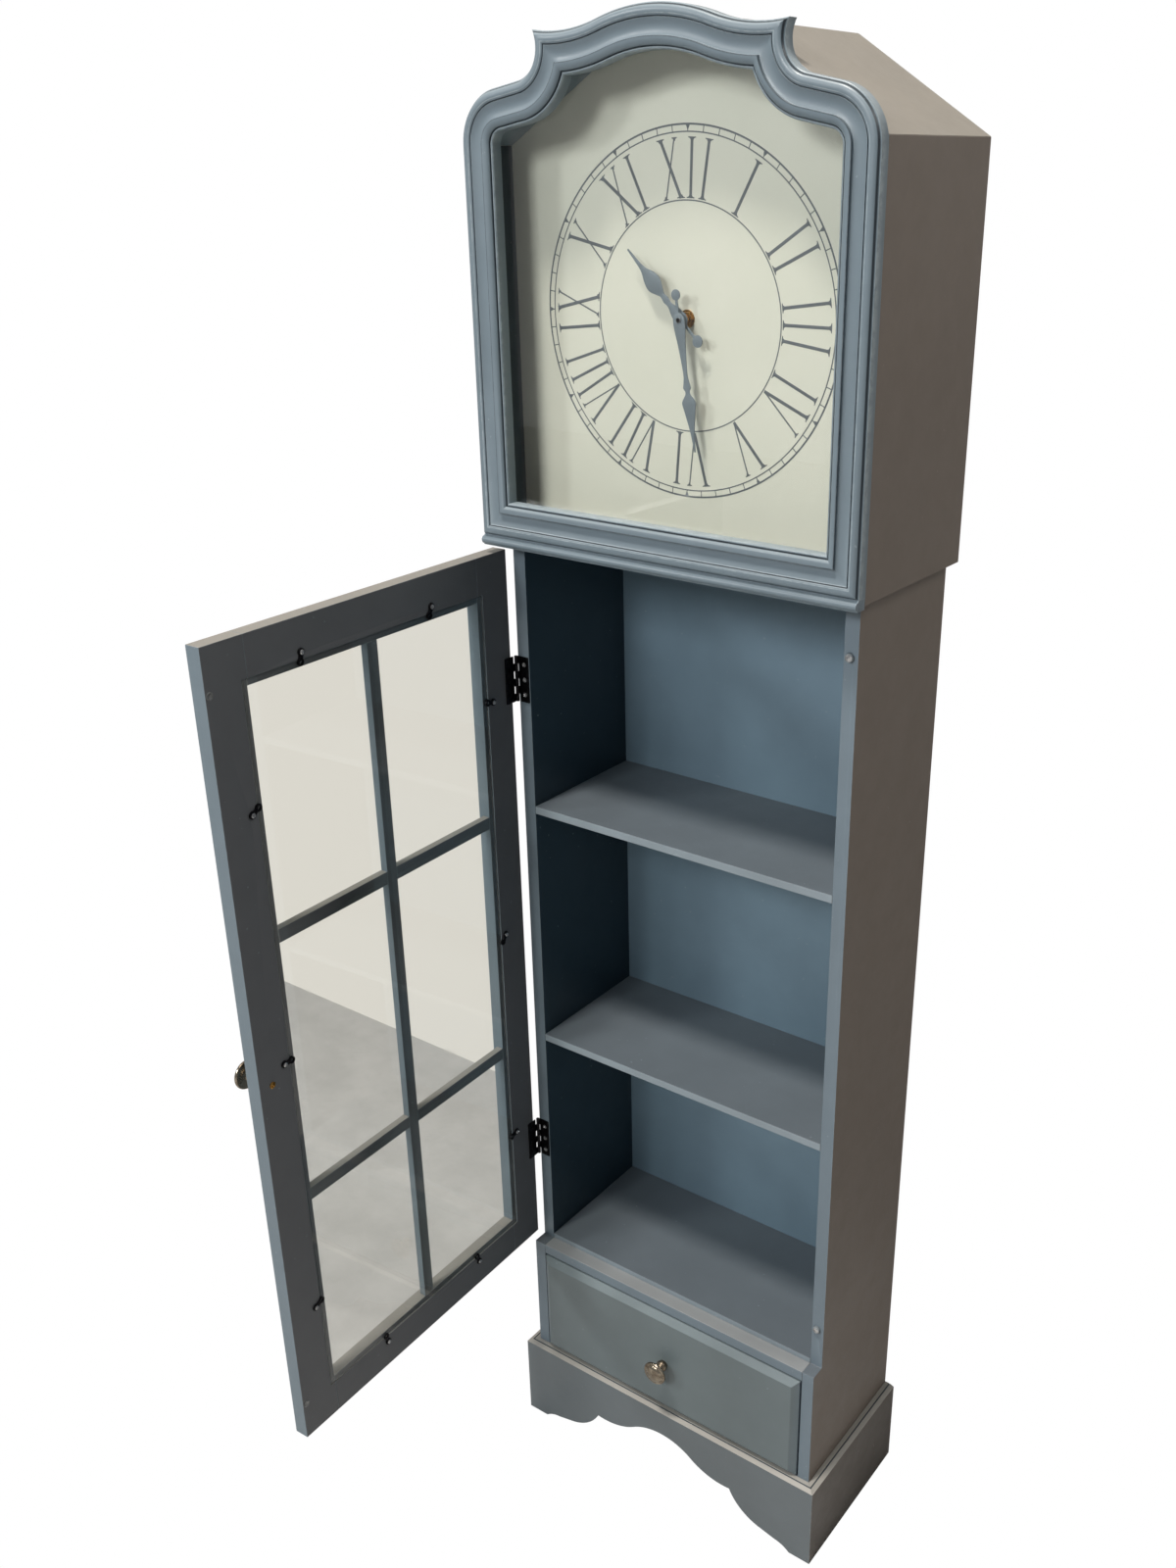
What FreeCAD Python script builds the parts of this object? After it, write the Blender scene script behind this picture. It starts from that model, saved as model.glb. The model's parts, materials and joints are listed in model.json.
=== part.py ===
import FreeCAD, Part
import math
import os
import Sketcher

# A tall painted clock cabinet. A shallow cupboard trunk with two shelves stands on a
# scalloped plinth that holds one drawer. A hood with an arched, moulded frame sits on
# top and carries the dial, the hands and the movement. A glazed door hangs on the left
# side and stands open. The frame is: X to the right, -Y to the front, +Z up, with the
# origin on the floor in the middle of the back.

vector = FreeCAD.Vector

# Every driving size, in millimetres and degrees
SIZES = {
    # Trunk
    "trunk_width": 400.0,
    "trunk_depth": 170.0,
    "trunk_height": 1152.0,
    "side_thickness": 15.0,
    "back_thickness": 6.0,
    "board_thickness": 15.0,
    "shelf_thickness": 9.0,
    "floor_lip": 6.0,
    # Drawer section, which steps forward under the cupboard
    "step_forward": 17.5,
    "ledge_height": 271.0,
    "ledge_rail_height": 13.0,
    # Plinth
    "plinth_height": 113.0,
    "skirt_thickness": 12.0,
    "skirt_chamfer_width": 5.6,
    "skirt_chamfer_drop": 2.4,
    "skirt_groove_width": 0.8,
    "skirt_groove_depth": 0.9,
    "foot_width": 28.0,
    "scallop_height": 76.5,
    # Hood box, which overhangs the trunk at the sides and the front
    "hood_side_overhang": 12.0,
    "hood_front_overhang": 16.0,
    "hood_board": 15.0,
    "hood_wall_height": 369.0,
    "roof_rise": 82.5,
    "roof_flat_width": 158.0,
    "access_size": 130.0,
    "access_corner_radius": 12.0,
    "batten_section": 9.0,
    "batten_height": 320.0,
    # Arched frame of the hood
    "frame_width": 34.0,
    "frame_thickness": 16.0,
    "shoulder_spring_drop": 8.0,
    "crest_dip_drop": 2.7,
    # Half-round strip under the frame
    "strip_height": 10.5,
    "strip_drop": 3.0,
    "strip_thickness": 13.8,
    "strip_fillet": 1.3,
    # Glass and dial
    "hood_glass_thickness": 3.0,
    "glass_clearance": 0.5,
    "dial_setback": 38.5,
    "dial_thickness": 6.0,
    "dial_centre_rise": 205.2,
    # Movement and hands
    "case_side": 56.0,
    "case_depth": 18.0,
    "case_wall": 1.6,
    "case_corner_radius": 5.0,
    "battery_radius": 7.25,
    "battery_length": 50.0,
    "arbor_radius": 2.0,
    "pipe_radius": 3.2,
    "bush_radius": 4.0,
    "running_clearance": 0.05,
    "bush_length": 5.0,
    "pipe_reach": 2.5,
    "pipe_well_depth": 5.0,
    "nut_across_flats": 12.0,
    "nut_thickness": 2.4,
    "washer_radius": 8.0,
    "washer_thickness": 0.6,
    "setting_wheel_radius": 7.0,
    "setting_wheel_thickness": 3.5,
    "setting_wheel_gap": 0.3,
    "hand_thickness": 0.8,
    "hour_standoff": 9.4,
    "minute_standoff": 13.0,
    "arbor_tip": 1.0,
    "minute_length": 115.0,
    "minute_tail": 26.0,
    "minute_width": 14.6,
    "hour_length": 81.0,
    "hour_tail": 30.0,
    "hour_width": 16.5,
    "minute_angle": 171.0,
    "hour_angle": 314.25,
    # Door, which fits between the ledge and the hood's strip
    "door_foot_gap": 9.0,
    "door_head_gap": 8.0,
    "door_hinge_inset": 5.5,
    "door_latch_inset": 4.0,
    "door_thickness": 16.2,
    "door_open_angle": 88.0,
    "stile_width": 46.0,
    "rail_width": 46.0,
    "rebate_width": 7.0,
    "rebate_depth": 2.5,
    "bar_width": 13.5,
    "cross_bar_height": 14.0,
    "bar_setback": 5.6,
    "door_glass_thickness": 2.1,
    # Butt hinges
    "hinge_axis_out": 1.2,
    "hinge_axis_forward": 1.8,
    "hinge_inset": 139.0,
    "hinge_length": 50.0,
    "knuckle_radius": 2.0,
    "knuckle_gap": 0.2,
    "leaf_thickness": 1.3,
    "leaf_notch": 3.6,
    "frame_leaf_reach": 15.4,
    "door_leaf_reach": 16.8,
    "hinge_pin_radius": 1.0,
    "leaf_screw_pitch": 16.5,
    "leaf_screw_inset": 5.4,
    "leaf_screw_head_radius": 2.6,
    "leaf_screw_head_height": 0.4,
    "leaf_screw_radius": 1.4,
    "leaf_screw_length": 12.0,
    # Turn-button clips that hold the door's glass
    "clip_pitch": 9.0,
    "clip_lobe_radius": 3.7,
    "clip_waist": 4.6,
    "clip_thickness": 1.4,
    "clip_lift": 0.3,
    "clip_play": 0.2,
    "clip_setback": 7.0,
    "clip_screw_radius": 1.5,
    "clip_screw_head_radius": 2.7,
    "clip_screw_head_height": 1.2,
    "clip_screw_length": 9.0,
    # Magnets and their strike discs
    "magnet_radius": 4.2,
    "magnet_length": 12.8,
    "magnet_reach": 2.8,
    "magnet_inset": 8.5,
    "magnet_end_inset": 43.0,
    "strike_radius": 3.6,
    "strike_thickness": 0.6,
    # Knobs
    "knob_radius": 15.7,
    "knob_height": 24.0,
    "knob_screw_radius": 2.0,
    "knob_screw_head_radius": 3.4,
    "knob_screw_head_height": 1.6,
    "knob_screw_bite": 12.0,
    "door_knob_edge": 15.5,
    # Drawer
    "drawer_gap": 1.5,
    "drawer_front_thickness": 18.0,
    "drawer_front_proud": 7.0,
    "drawer_bevel_depth": 6.0,
    "drawer_bevel_width": 8.0,
    "drawer_board": 12.0,
    "drawer_side_height": 104.0,
    "drawer_back_gap": 8.0,
    "drawer_bottom_thickness": 4.0,
    "drawer_bottom_lift": 7.0,
    "drawer_running_gap": 0.3,
    # One overrun serves every cut
    "overrun": 1.0,
}

# Heights of the shelves' tops, as shares of the cupboard's inner height
SHELF_SHARES = [("shelf_lower", 0.333), ("shelf_upper", 0.6645)]

# Points and bends of the plinth's scallop, from the foot to the middle: across and up
# as shares of its half span and its height, then the bend of the stretch that follows
SCALLOP_SHARES = [
    (1.0, 0.0, -0.19),
    (0.886, 0.118, 0.0),
    (0.777, 0.178, 0.34),
    (0.538, 0.640, 0.43),
    (0.239, 0.810, -0.402),
]

# The frame's outline. The shoulder and the neck are shares of the rise from the spring
# of the shoulder to the dip of the crest, and the crest's own arcs are shares of the
# hood's half width, so that the arcs still meet when either changes
SHOULDER_SHARE = 0.5239
SHOULDER_RUN_SHARE = 1.0023
NECK_SHARE = 0.2961
NECK_DROP_SHARE = 0.12919
CREST_HOLLOW_SHARE = 0.70755
CREST_SHARE = 0.87264
CREST_RISE_SHARE = 0.08113

# Moulding of the hood's frame, from its outer edge inwards: widths as shares of the
# frame's width, heights as shares of its thickness
WIDTH_SHARES = [
    ("arris", 0.041),
    ("outer_bead", 0.253),
    ("vee", 0.0235),
    ("cove", 0.382),
    ("quirk", 0.0206),
    ("ovolo", 0.206),
]
HEIGHT_SHARES = [
    ("arris", 0.72),
    ("bead_foot", 0.7875),
    ("bead_top", 1.0),
    ("vee_foot", 0.83),
    ("cove_outer", 0.9125),
    ("cove_inner", 0.80),
    ("cove_sag", 0.094),
    ("ovolo_top", 0.975),
    ("ovolo_foot", 0.70),
    ("quirk_foot", 0.65),
    ("inner_bead", 0.725),
    ("inner_edge", 0.6125),
]
BEAD_TURN_SHARE = 0.82

# How many straight runs stand for each rounded member of the moulding
BEAD_RUNS = 4
COVE_RUNS = 2
OVOLO_RUNS = 2

# Radius of the half-round strip's nose, as a share of its rounded height
NOSE_SHARE = 0.54

# Half outline of each hand, from tail to tip: how far along and how wide, as shares of
# the hand's length and of its greatest width
MINUTE_BLADE_SHARES = [
    (0.0, 0.42),
    (0.055, 0.415),
    (0.20, 0.27),
    (0.39, 0.145),
    (0.46, 0.20),
    (0.50, 0.28),
    (0.512, 0.265),
    (0.535, 0.16),
    (0.56, 0.20),
    (0.60, 0.44),
    (0.63, 0.50),
    (0.70, 0.38),
    (0.85, 0.15),
    (1.0, 0.035),
]
HOUR_BLADE_SHARES = [
    (0.0, 0.38),
    (0.10, 0.34),
    (0.21, 0.16),
    (0.28, 0.20),
    (0.35, 0.15),
    (0.40, 0.27),
    (0.50, 0.50),
    (0.60, 0.42),
    (0.72, 0.16),
    (0.86, 0.085),
    (1.0, 0.045),
]
HAND_HUB_SHARE = 0.42
HAND_BALL_SHARE = 0.32
HAND_STEM_SHARE = 0.085

# Places of the turn-buttons along each edge of the glass, as shares of that edge, and
# the tilt at which each stands in the photograph
TOP_CLIP_SHARES = [(0.243, 26.0), (0.783, 12.0)]
BOTTOM_CLIP_SHARES = [(0.233, -19.0), (0.726, -15.0)]
HINGE_CLIP_SHARES = [(0.853, -10.0), (0.504, 52.0), (0.165, 14.0)]
LATCH_CLIP_SHARES = [(0.845, 32.0), (0.518, 0.0), (0.143, 24.0)]

# Half section of the turned knob: out and up as shares of its radius and its height,
# then the bend of the stretch that follows as a share of the radius, and how many
# straight runs stand for that stretch
KNOB_SHARES = [
    (0.45, 0.0, 0.0, 1),
    (0.45, 0.05, -0.13, 1),
    (0.34, 0.12, 0.55, 2),
    (0.30, 0.45, 0.75, 3),
    (0.952, 0.66, -0.20, 1),
    (0.952, 0.83, 0.0, 1),
    (0.76, 0.84, -1.25, 2),
    (0.2, 0.995, 0.0, 1),
]

# Sides of the small fixings and of the slightly larger round parts, which are many-sided
# bars where nothing turns in or on them
FIXING_SIDES = 8
HEAD_SIDES = 12
NUT_SIDES = 6
DISC_SIDES = 20
PIVOT_SIDES = 16
HAND_SIDES = 16

# The whole cabinet is one parametric document, driven by one sheet of sizes
doc = FreeCAD.newDocument("clock_cabinet")
sheet = doc.addObject("Spreadsheet::Sheet", "sizes")
for row, (alias, number) in enumerate(SIZES.items(), start=1):
    sheet.set(f"A{row}", alias.replace("_", " "))
    sheet.set(f"B{row}", str(number))
    sheet.setAlias(f"B{row}", alias)
doc.recompute()


class Size:
    """A size that knows its number and the sheet formula that it comes from."""

    def __init__(self, number, formula):
        self.number = number
        self.formula = formula

    def __add__(self, other):
        return Size(self.number + number_of(other), f"({self.formula} + {formula_of(other)})")

    def __radd__(self, other):
        return Size(number_of(other) + self.number, f"({formula_of(other)} + {self.formula})")

    def __sub__(self, other):
        return Size(self.number - number_of(other), f"({self.formula} - {formula_of(other)})")

    def __rsub__(self, other):
        return Size(number_of(other) - self.number, f"({formula_of(other)} - {self.formula})")

    def __mul__(self, other):
        return Size(self.number * number_of(other), f"({self.formula} * {formula_of(other)})")

    def __rmul__(self, other):
        return self * other

    def __truediv__(self, other):
        return Size(self.number / number_of(other), f"({self.formula} / {formula_of(other)})")

    def __neg__(self):
        return Size(-self.number, f"(0 - {self.formula})")


def number_of(size):
    return size.number if isinstance(size, Size) else float(size)


def formula_of(size):
    return size.formula if isinstance(size, Size) else f"{float(size):.6f}"


def root(size):
    return Size(math.sqrt(size.number), f"sqrt({size.formula})")


class Sheet:
    """Each cell of the sheet as a Size, by its alias."""

    def __init__(self):
        for alias in SIZES:
            setattr(self, alias, Size(float(sheet.get(alias)), f"sizes.{alias}"))


S = Sheet()
nodes = {}


def node(name, piece):
    """Name a finished sub-part, so that it is checked and written."""
    piece.Label = name
    nodes[name] = piece
    return piece


def bind(piece, path, size):
    """Tie one property of a piece to the sheet."""
    if isinstance(size, Size):
        piece.setExpression(path, size.formula)
    elif size:
        piece.setExpression(path, formula_of(size))


def put(piece, x, y, z, axis=None, angle=0):
    """Place a piece, turned about an axis by an angle."""
    if axis is not None:
        turn = FreeCAD.Rotation(axis, number_of(angle))
        piece.Placement = FreeCAD.Placement(vector(0, 0, 0), turn)
        if isinstance(angle, Size):
            bind(piece, "Placement.Rotation.Angle", angle)
    bind(piece, "Placement.Base.x", x)
    bind(piece, "Placement.Base.y", y)
    bind(piece, "Placement.Base.z", z)
    return piece


X_AXIS = vector(1, 0, 0)
Y_AXIS = vector(0, 1, 0)
Z_AXIS = vector(0, 0, 1)


def board(x, y, z):
    """A plain board from its low and high bounds along each axis."""
    piece = doc.addObject("Part::Box", "board")
    for path, (low, high) in zip(("Length", "Width", "Height"), (x, y, z)):
        bind(piece, path, high - low)
    return put(piece, x[0], y[0], z[0])


def rod(along, radius, length, x=0, y=0, z=0):
    """A round bar that starts at a point and runs along +X, +Y, -Y or +Z."""
    piece = doc.addObject("Part::Cylinder", "rod")
    bind(piece, "Radius", radius)
    bind(piece, "Height", length)
    turns = {"x": (Y_AXIS, 90), "y": (X_AXIS, -90), "-y": (X_AXIS, 90), "z": (Z_AXIS, 0)}
    axis, angle = turns[along]
    return put(piece, x, y, z, axis, angle)


def sided(along, radius, length, x=0, y=0, z=0, sides=FIXING_SIDES):
    """A many-sided bar, placed as a rod is; its corners lie on the radius."""
    piece = doc.addObject("Part::Prism", "sided_bar")
    piece.Polygon = sides
    bind(piece, "Circumradius", radius)
    bind(piece, "Height", length)
    turns = {"x": (Y_AXIS, 90), "y": (X_AXIS, -90), "-y": (X_AXIS, 90), "z": (Z_AXIS, 0)}
    axis, angle = turns[along]
    return put(piece, x, y, z, axis, angle)


def cut(base, tools):
    """Take tools away from a base."""
    piece = doc.addObject("Part::Cut", "cut")
    piece.Base = base
    piece.Tool = tools[0] if len(tools) == 1 else join(tools)
    return piece


def join(parts):
    """Join parts that make one solid."""
    piece = doc.addObject("Part::MultiFuse", "join")
    piece.Shapes = parts
    return piece


def group(parts):
    """Keep parts as separate solids of one node."""
    piece = doc.addObject("Part::Compound", "group")
    piece.Links = parts
    return piece


def new_body(name):
    return doc.addObject("PartDesign::Body", name)


def origin_plane(body, role):
    for feature in body.Origin.OriginFeatures:
        if feature.Role == role:
            return feature
    raise ValueError(role)


def pin_point(sketch, geometry, end, x, y):
    """Hold one end of a line or arc at sheet-driven distances from the origin."""
    for kind, size, axis in (("DistanceX", x, -2), ("DistanceY", y, -1)):
        if number_of(size) == 0:
            sketch.addConstraint(Sketcher.Constraint("PointOnObject", geometry, end, axis))
            continue
        constraint = Sketcher.Constraint(kind, -1, 1, geometry, end, number_of(size))
        index = sketch.addConstraint(constraint)
        sketch.setExpression(f"Constraints[{index}]", formula_of(size))


def arc_middle(start, end, radius):
    """The middle of an arc between two points; a negative radius bends it the other way."""
    chord = end - start
    half = chord.Length / 2
    rise = abs(radius) - math.sqrt(radius * radius - half * half)
    side = vector(-chord.y, chord.x, 0).normalize()
    return (start + end) / 2 + side * math.copysign(rise, radius)


def draw(sketch, points):
    """Draw a closed outline. A point may carry the radius of the arc that follows it."""
    corners = [vector(number_of(point[0]), number_of(point[1]), 0) for point in points]
    starts = []
    for index, point in enumerate(points):
        here = corners[index]
        there = corners[(index + 1) % len(points)]
        bend = point[2] if len(point) > 2 else 0
        if number_of(bend) == 0:
            geometry = sketch.addGeometry(Part.LineSegment(here, there), False)
            starts.append((geometry, 1, 2))
            continue
        middle = arc_middle(here, there, number_of(bend))
        geometry = sketch.addGeometry(Part.Arc(here, middle, there), False)
        forward = (sketch.getPoint(geometry, 1) - here).Length < (sketch.getPoint(geometry, 2) - here).Length
        starts.append((geometry, 1, 2) if forward else (geometry, 2, 1))
        radius = bend if number_of(bend) > 0 else -bend
        index_of = sketch.addConstraint(Sketcher.Constraint("Radius", geometry, number_of(radius)))
        sketch.setExpression(f"Constraints[{index_of}]", formula_of(radius))
    for index, point in enumerate(points):
        geometry, start, end = starts[index]
        following = starts[(index + 1) % len(points)]
        sketch.addConstraint(Sketcher.Constraint("Coincident", geometry, end, following[0], following[1]))
        pin_point(sketch, geometry, start, point[0], point[1])


def new_sketch(body, role, points):
    sketch = body.newObject("Sketcher::SketchObject", "outline")
    sketch.AttachmentSupport = [(origin_plane(body, role), "")]
    sketch.MapMode = "FlatFace"
    draw(sketch, points)
    return sketch


def padded(name, role, points, length, middle=False):
    """A body made by extruding one closed outline from an origin plane."""
    body = new_body(name)
    pad = body.newObject("PartDesign::Pad", "thickness")
    pad.Profile = new_sketch(body, role, points)
    bind(pad, "Length", length)
    pad.Midplane = middle
    return body


# Levels and planes that several pieces share
half = S.trunk_width / 2
inside = half - S.side_thickness
front = S.trunk_depth + S.step_forward
skirt_front = front + S.skirt_thickness
base_top = S.plinth_height
rail_foot = S.ledge_height - S.ledge_rail_height
floor_top = S.ledge_height + S.floor_lip
shelf_tops = {name: floor_top + (S.trunk_height - floor_top) * share for name, share in SHELF_SHARES}
hood_half = half + S.hood_side_overhang
hood_depth = S.trunk_depth + S.hood_front_overhang
hood_inside = hood_half - S.hood_board
hood_floor_top = S.trunk_height + S.board_thickness
shoulder_height = S.trunk_height + S.hood_wall_height
roof_height = shoulder_height + S.roof_rise
strip_foot = S.trunk_height - S.strip_drop
frame_foot = strip_foot + S.strip_height
dial_height = hood_floor_top + S.dial_centre_rise

# Hinge line, and the door's own frame: its X runs along the door from the hinge pin,
# its Y from the front of the door to the back when it is shut
hinge_x = -(half + S.hinge_axis_out)
hinge_y = -(S.trunk_depth + S.hinge_axis_forward)
door_back = -S.hinge_axis_forward
door_front = door_back - S.door_thickness
door_start = S.hinge_axis_out + S.door_hinge_inset
door_end = half - S.door_latch_inset - hinge_x
door_foot = S.ledge_height + S.door_foot_gap
door_top = strip_foot - S.door_head_gap
hinge_heights = [door_foot + S.hinge_inset, door_top - S.hinge_inset]
magnet_x = half - S.magnet_inset
magnet_heights = [door_foot + S.magnet_end_inset, door_top - S.magnet_end_inset]


def on_door(piece):
    """Hang a piece that is drawn in the door's own frame."""
    return put(piece, hinge_x, hinge_y, 0, Z_AXIS, -S.door_open_angle)


# Trunk sides: one board each, with the drawer section stepped forward. The left one has
# pilot holes for the hinge screws, the right one sockets for the two magnets.
def leaf_screw_heights():
    for height in hinge_heights:
        for step in (-1, 0, 1):
            yield height + S.leaf_screw_pitch * step


def frame_screw_x():
    return hinge_x + S.frame_leaf_reach - S.leaf_screw_inset


def side_outline():
    return [
        (0, 0),
        (0, S.trunk_height),
        (-S.trunk_depth, S.trunk_height),
        (-S.trunk_depth, S.ledge_height),
        (-front, S.ledge_height),
        (-front, 0),
    ]


def make_sides():
    left = put(padded("left_side", "YZ_Plane", side_outline(), S.side_thickness), -half, 0, 0)
    pilots = []
    for height in leaf_screw_heights():
        depth = S.leaf_screw_length - S.leaf_thickness
        pilots.append(sided("y", S.leaf_screw_radius, depth, frame_screw_x(), -S.trunk_depth, height))
    node("side_panel_left", cut(left, pilots))

    right = put(padded("right_side", "YZ_Plane", side_outline(), S.side_thickness), inside, 0, 0)
    sockets = []
    for height in magnet_heights:
        depth = S.magnet_length - S.magnet_reach
        sockets.append(sided("y", S.magnet_radius, depth, magnet_x, -S.trunk_depth, height, DISC_SIDES))
    node("side_panel_right", cut(right, sockets))

    magnets = []
    for height in magnet_heights:
        start = -(S.trunk_depth + S.magnet_reach)
        magnets.append(sided("y", S.magnet_radius, S.magnet_length, magnet_x, start, height, DISC_SIDES))
    node("catch_magnets", group(magnets))


# Boards between the sides
def make_trunk_boards():
    across = (-inside, inside)
    back = -S.back_thickness
    node("back_panel", board(across, (back, 0), (0, S.trunk_height)))
    node("base_board", board(across, (-front, back), (base_top - S.board_thickness, base_top)))
    node("bottom_board", board(across, (-S.trunk_depth, back), (floor_top - S.board_thickness, floor_top)))
    node("ledge_rail", board(across, (-front, -S.trunk_depth), (rail_foot, S.ledge_height)))
    for name, top in shelf_tops.items():
        node(name, board(across, (-S.trunk_depth, back), (top - S.shelf_thickness, top)))


# Plinth skirts: a chamfered and grooved top edge all round, mitred at the front corners,
# and a scalloped foot at the front
def skirt_section(sign):
    """Section of a skirt, from its inner face out, with X to the given side."""
    groove_end = half + S.skirt_thickness - S.skirt_chamfer_width
    groove_start = groove_end - S.skirt_groove_width
    groove_foot = base_top - S.skirt_groove_depth
    outer = half + S.skirt_thickness
    points = [
        (half, 0),
        (outer, 0),
        (outer, base_top - S.skirt_chamfer_drop),
        (groove_end, base_top),
        (groove_end, groove_foot),
        (groove_start, groove_foot),
        (groove_start, base_top),
        (half, base_top),
    ]
    return [(x * sign, z) for x, z in points]


def mitre_wedge(sign):
    """The corner outside the mitre plane, on the side skirt's part of the corner."""
    outer = (half + S.skirt_thickness) * sign
    points = [
        (half * sign, -front),
        (half * sign, -(skirt_front + S.overrun)),
        (outer + S.overrun * sign, -(skirt_front + S.overrun)),
    ]
    return padded("mitre_wedge", "XY_Plane", points, base_top + S.overrun)


def front_mitre_wedge(sign):
    """The same corner, on the front skirt's part of it."""
    outer = half + S.skirt_thickness + S.overrun
    points = [
        ((half - S.overrun) * sign, -(front - S.overrun)),
        (outer * sign, -(front - S.overrun)),
        (outer * sign, -(skirt_front + S.overrun)),
    ]
    return padded("front_mitre_wedge", "XY_Plane", points, base_top + S.overrun)


def scallop_points():
    """The scalloped foot from right to left, with the arcs that join its points."""
    span = half + S.skirt_thickness - S.foot_width
    rise = S.scallop_height
    right = []
    for across, up, bend in SCALLOP_SHARES:
        right.append((span * across, rise * up if up else 0, span * bend if bend else 0))
    left = []
    bends = [point[2] for point in right[:-1]]
    for (x, z, _), bend in zip(reversed(right), reversed([0] + bends)):
        left.append((-x, z, bend))
    return right + left


def make_plinth():
    length = skirt_front + S.overrun
    for name, sign in (("plinth_side_left", -1), ("plinth_side_right", 1)):
        skirt = padded("skirt", "XZ_Plane", skirt_section(sign), length)
        node(name, cut(skirt, [mitre_wedge(sign)]))

    outer = half + S.skirt_thickness
    outline = [(-outer, 0), (-outer, base_top), (outer, base_top), (outer, 0)]
    apron = put(padded("apron", "XZ_Plane", outline + scallop_points(), S.skirt_thickness), 0, -front, 0)
    groove_end = skirt_front - S.skirt_chamfer_width
    edge = [
        (-skirt_front - S.overrun, base_top - S.skirt_chamfer_drop),
        (-skirt_front, base_top - S.skirt_chamfer_drop),
        (-groove_end, base_top),
        (-groove_end, base_top + S.overrun),
        (-skirt_front - S.overrun, base_top + S.overrun),
    ]
    chamfer = padded("chamfer", "YZ_Plane", edge, outer * 2 + S.overrun, middle=True)
    slot = board(
        (-outer, outer),
        (-groove_end, -(groove_end - S.skirt_groove_width)),
        (base_top - S.skirt_groove_depth, base_top + S.overrun),
    )
    tools = [chamfer, slot, front_mitre_wedge(-1), front_mitre_wedge(1)]
    node("plinth_front", cut(apron, tools))


# Hood box: floor, sides and a three-board roof with mitred joints
roof_run = hood_half - S.roof_flat_width / 2
roof_pitch = S.roof_rise / roof_run
roof_secant = root(roof_pitch * roof_pitch + 1)
wall_inner_top = shoulder_height + S.hood_board * roof_pitch - S.hood_board * roof_secant
ceiling = roof_height - S.hood_board
ceiling_half = hood_half - (S.roof_rise - S.hood_board + S.hood_board * roof_secant) / roof_pitch


def hood_inside_outline(clearance):
    """The space inside the hood, seen from the front, less a clearance all round."""
    side = hood_inside - clearance
    foot = hood_floor_top + clearance
    shoulder = wall_inner_top - clearance
    top = ceiling - clearance
    flat = ceiling_half - clearance
    return [(-side, foot), (-side, shoulder), (-flat, top), (flat, top), (side, shoulder), (side, foot)]


def make_hood_box():
    levels = (S.trunk_height, hood_floor_top)
    node("hood_floor", board((-hood_inside, hood_inside), (-hood_depth, 0), levels))
    for name, sign in (("hood_side_left", -1), ("hood_side_right", 1)):
        outline = [
            (hood_inside * sign, S.trunk_height),
            (hood_half * sign, S.trunk_height),
            (hood_half * sign, shoulder_height),
            (hood_inside * sign, wall_inner_top),
        ]
        node(name, padded(name + "_body", "XZ_Plane", outline, hood_depth))
    flat = S.roof_flat_width / 2
    outline = [
        (-flat, roof_height),
        (flat, roof_height),
        (ceiling_half, ceiling),
        (-ceiling_half, ceiling),
    ]
    node("hood_roof_top", padded("roof_top_body", "XZ_Plane", outline, hood_depth))
    slopes = []
    for sign in (-1, 1):
        outline = [
            (flat * sign, roof_height),
            (hood_half * sign, shoulder_height),
            (hood_inside * sign, wall_inner_top),
            (ceiling_half * sign, ceiling),
        ]
        slopes.append(padded("roof_slope", "XZ_Plane", outline, hood_depth))
    node("hood_roof_slopes", group(slopes))


def round_box(size, radius, depth):
    """A square box with rounded corners about the Y axis, its depth along -Y."""
    reach = size / 2
    corners = []
    for x_side, z_side in ((1, 1), (-1, 1), (-1, -1), (1, -1)):
        near = (reach * x_side, (reach - radius) * z_side)
        far = ((reach - radius) * x_side, reach * z_side)
        first, second = (near, far) if x_side == z_side else (far, near)
        corners.append((first[0], first[1], -radius))
        corners.append(second)
    return padded("round_box", "XZ_Plane", corners, depth)


def make_hood_back():
    """A thin back with a rounded opening behind the movement."""
    panel = padded("hood_back_body", "XZ_Plane", hood_inside_outline(0), S.back_thickness)
    tool = round_box(S.access_size, S.access_corner_radius, S.back_thickness + S.overrun * 2)
    node("hood_back", cut(panel, [put(tool, 0, S.overrun, dial_height)]))


# The arched frame: one moulded section carried round a closed outline of lines and arcs,
# mitred at the two bottom corners and at the two ears of the crest
def outline_radii():
    """Radii of the right half's arcs: shoulder, neck, hollow and crest."""
    rise = S.roof_rise.number + S.shoulder_spring_drop.number - S.crest_dip_drop.number
    across = hood_half.number
    return rise * SHOULDER_SHARE, rise * NECK_SHARE, across * CREST_HOLLOW_SHARE, across * CREST_SHARE


def outline_centres():
    """Centres of the four arcs of the right half, and the angles where they join."""
    shoulder_radius, neck_radius, hollow_radius, crest_radius = outline_radii()
    spring = shoulder_height.number - S.shoulder_spring_drop.number
    dip = roof_height.number - S.crest_dip_drop.number
    rise = dip - spring
    shoulder = (hood_half.number - shoulder_radius, spring)
    neck_x = hood_half.number - rise * SHOULDER_RUN_SHARE + neck_radius
    neck = (neck_x, dip - rise * NECK_DROP_SHARE)
    across = neck[0] - shoulder[0]
    up = neck[1] - shoulder[1]
    facing = math.atan2(up, across) - math.acos((shoulder_radius + neck_radius) / math.hypot(across, up))
    slope = math.pi / 2 - facing
    crest_rise = hood_half.number * CREST_RISE_SHARE
    reach = hollow_radius + crest_radius
    lean = math.acos(1 - crest_rise / reach)
    hollow = (reach * math.sin(lean), dip + hollow_radius)
    crest = (0.0, dip + crest_rise - crest_radius)
    return slope, lean, shoulder, neck, hollow, crest


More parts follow.
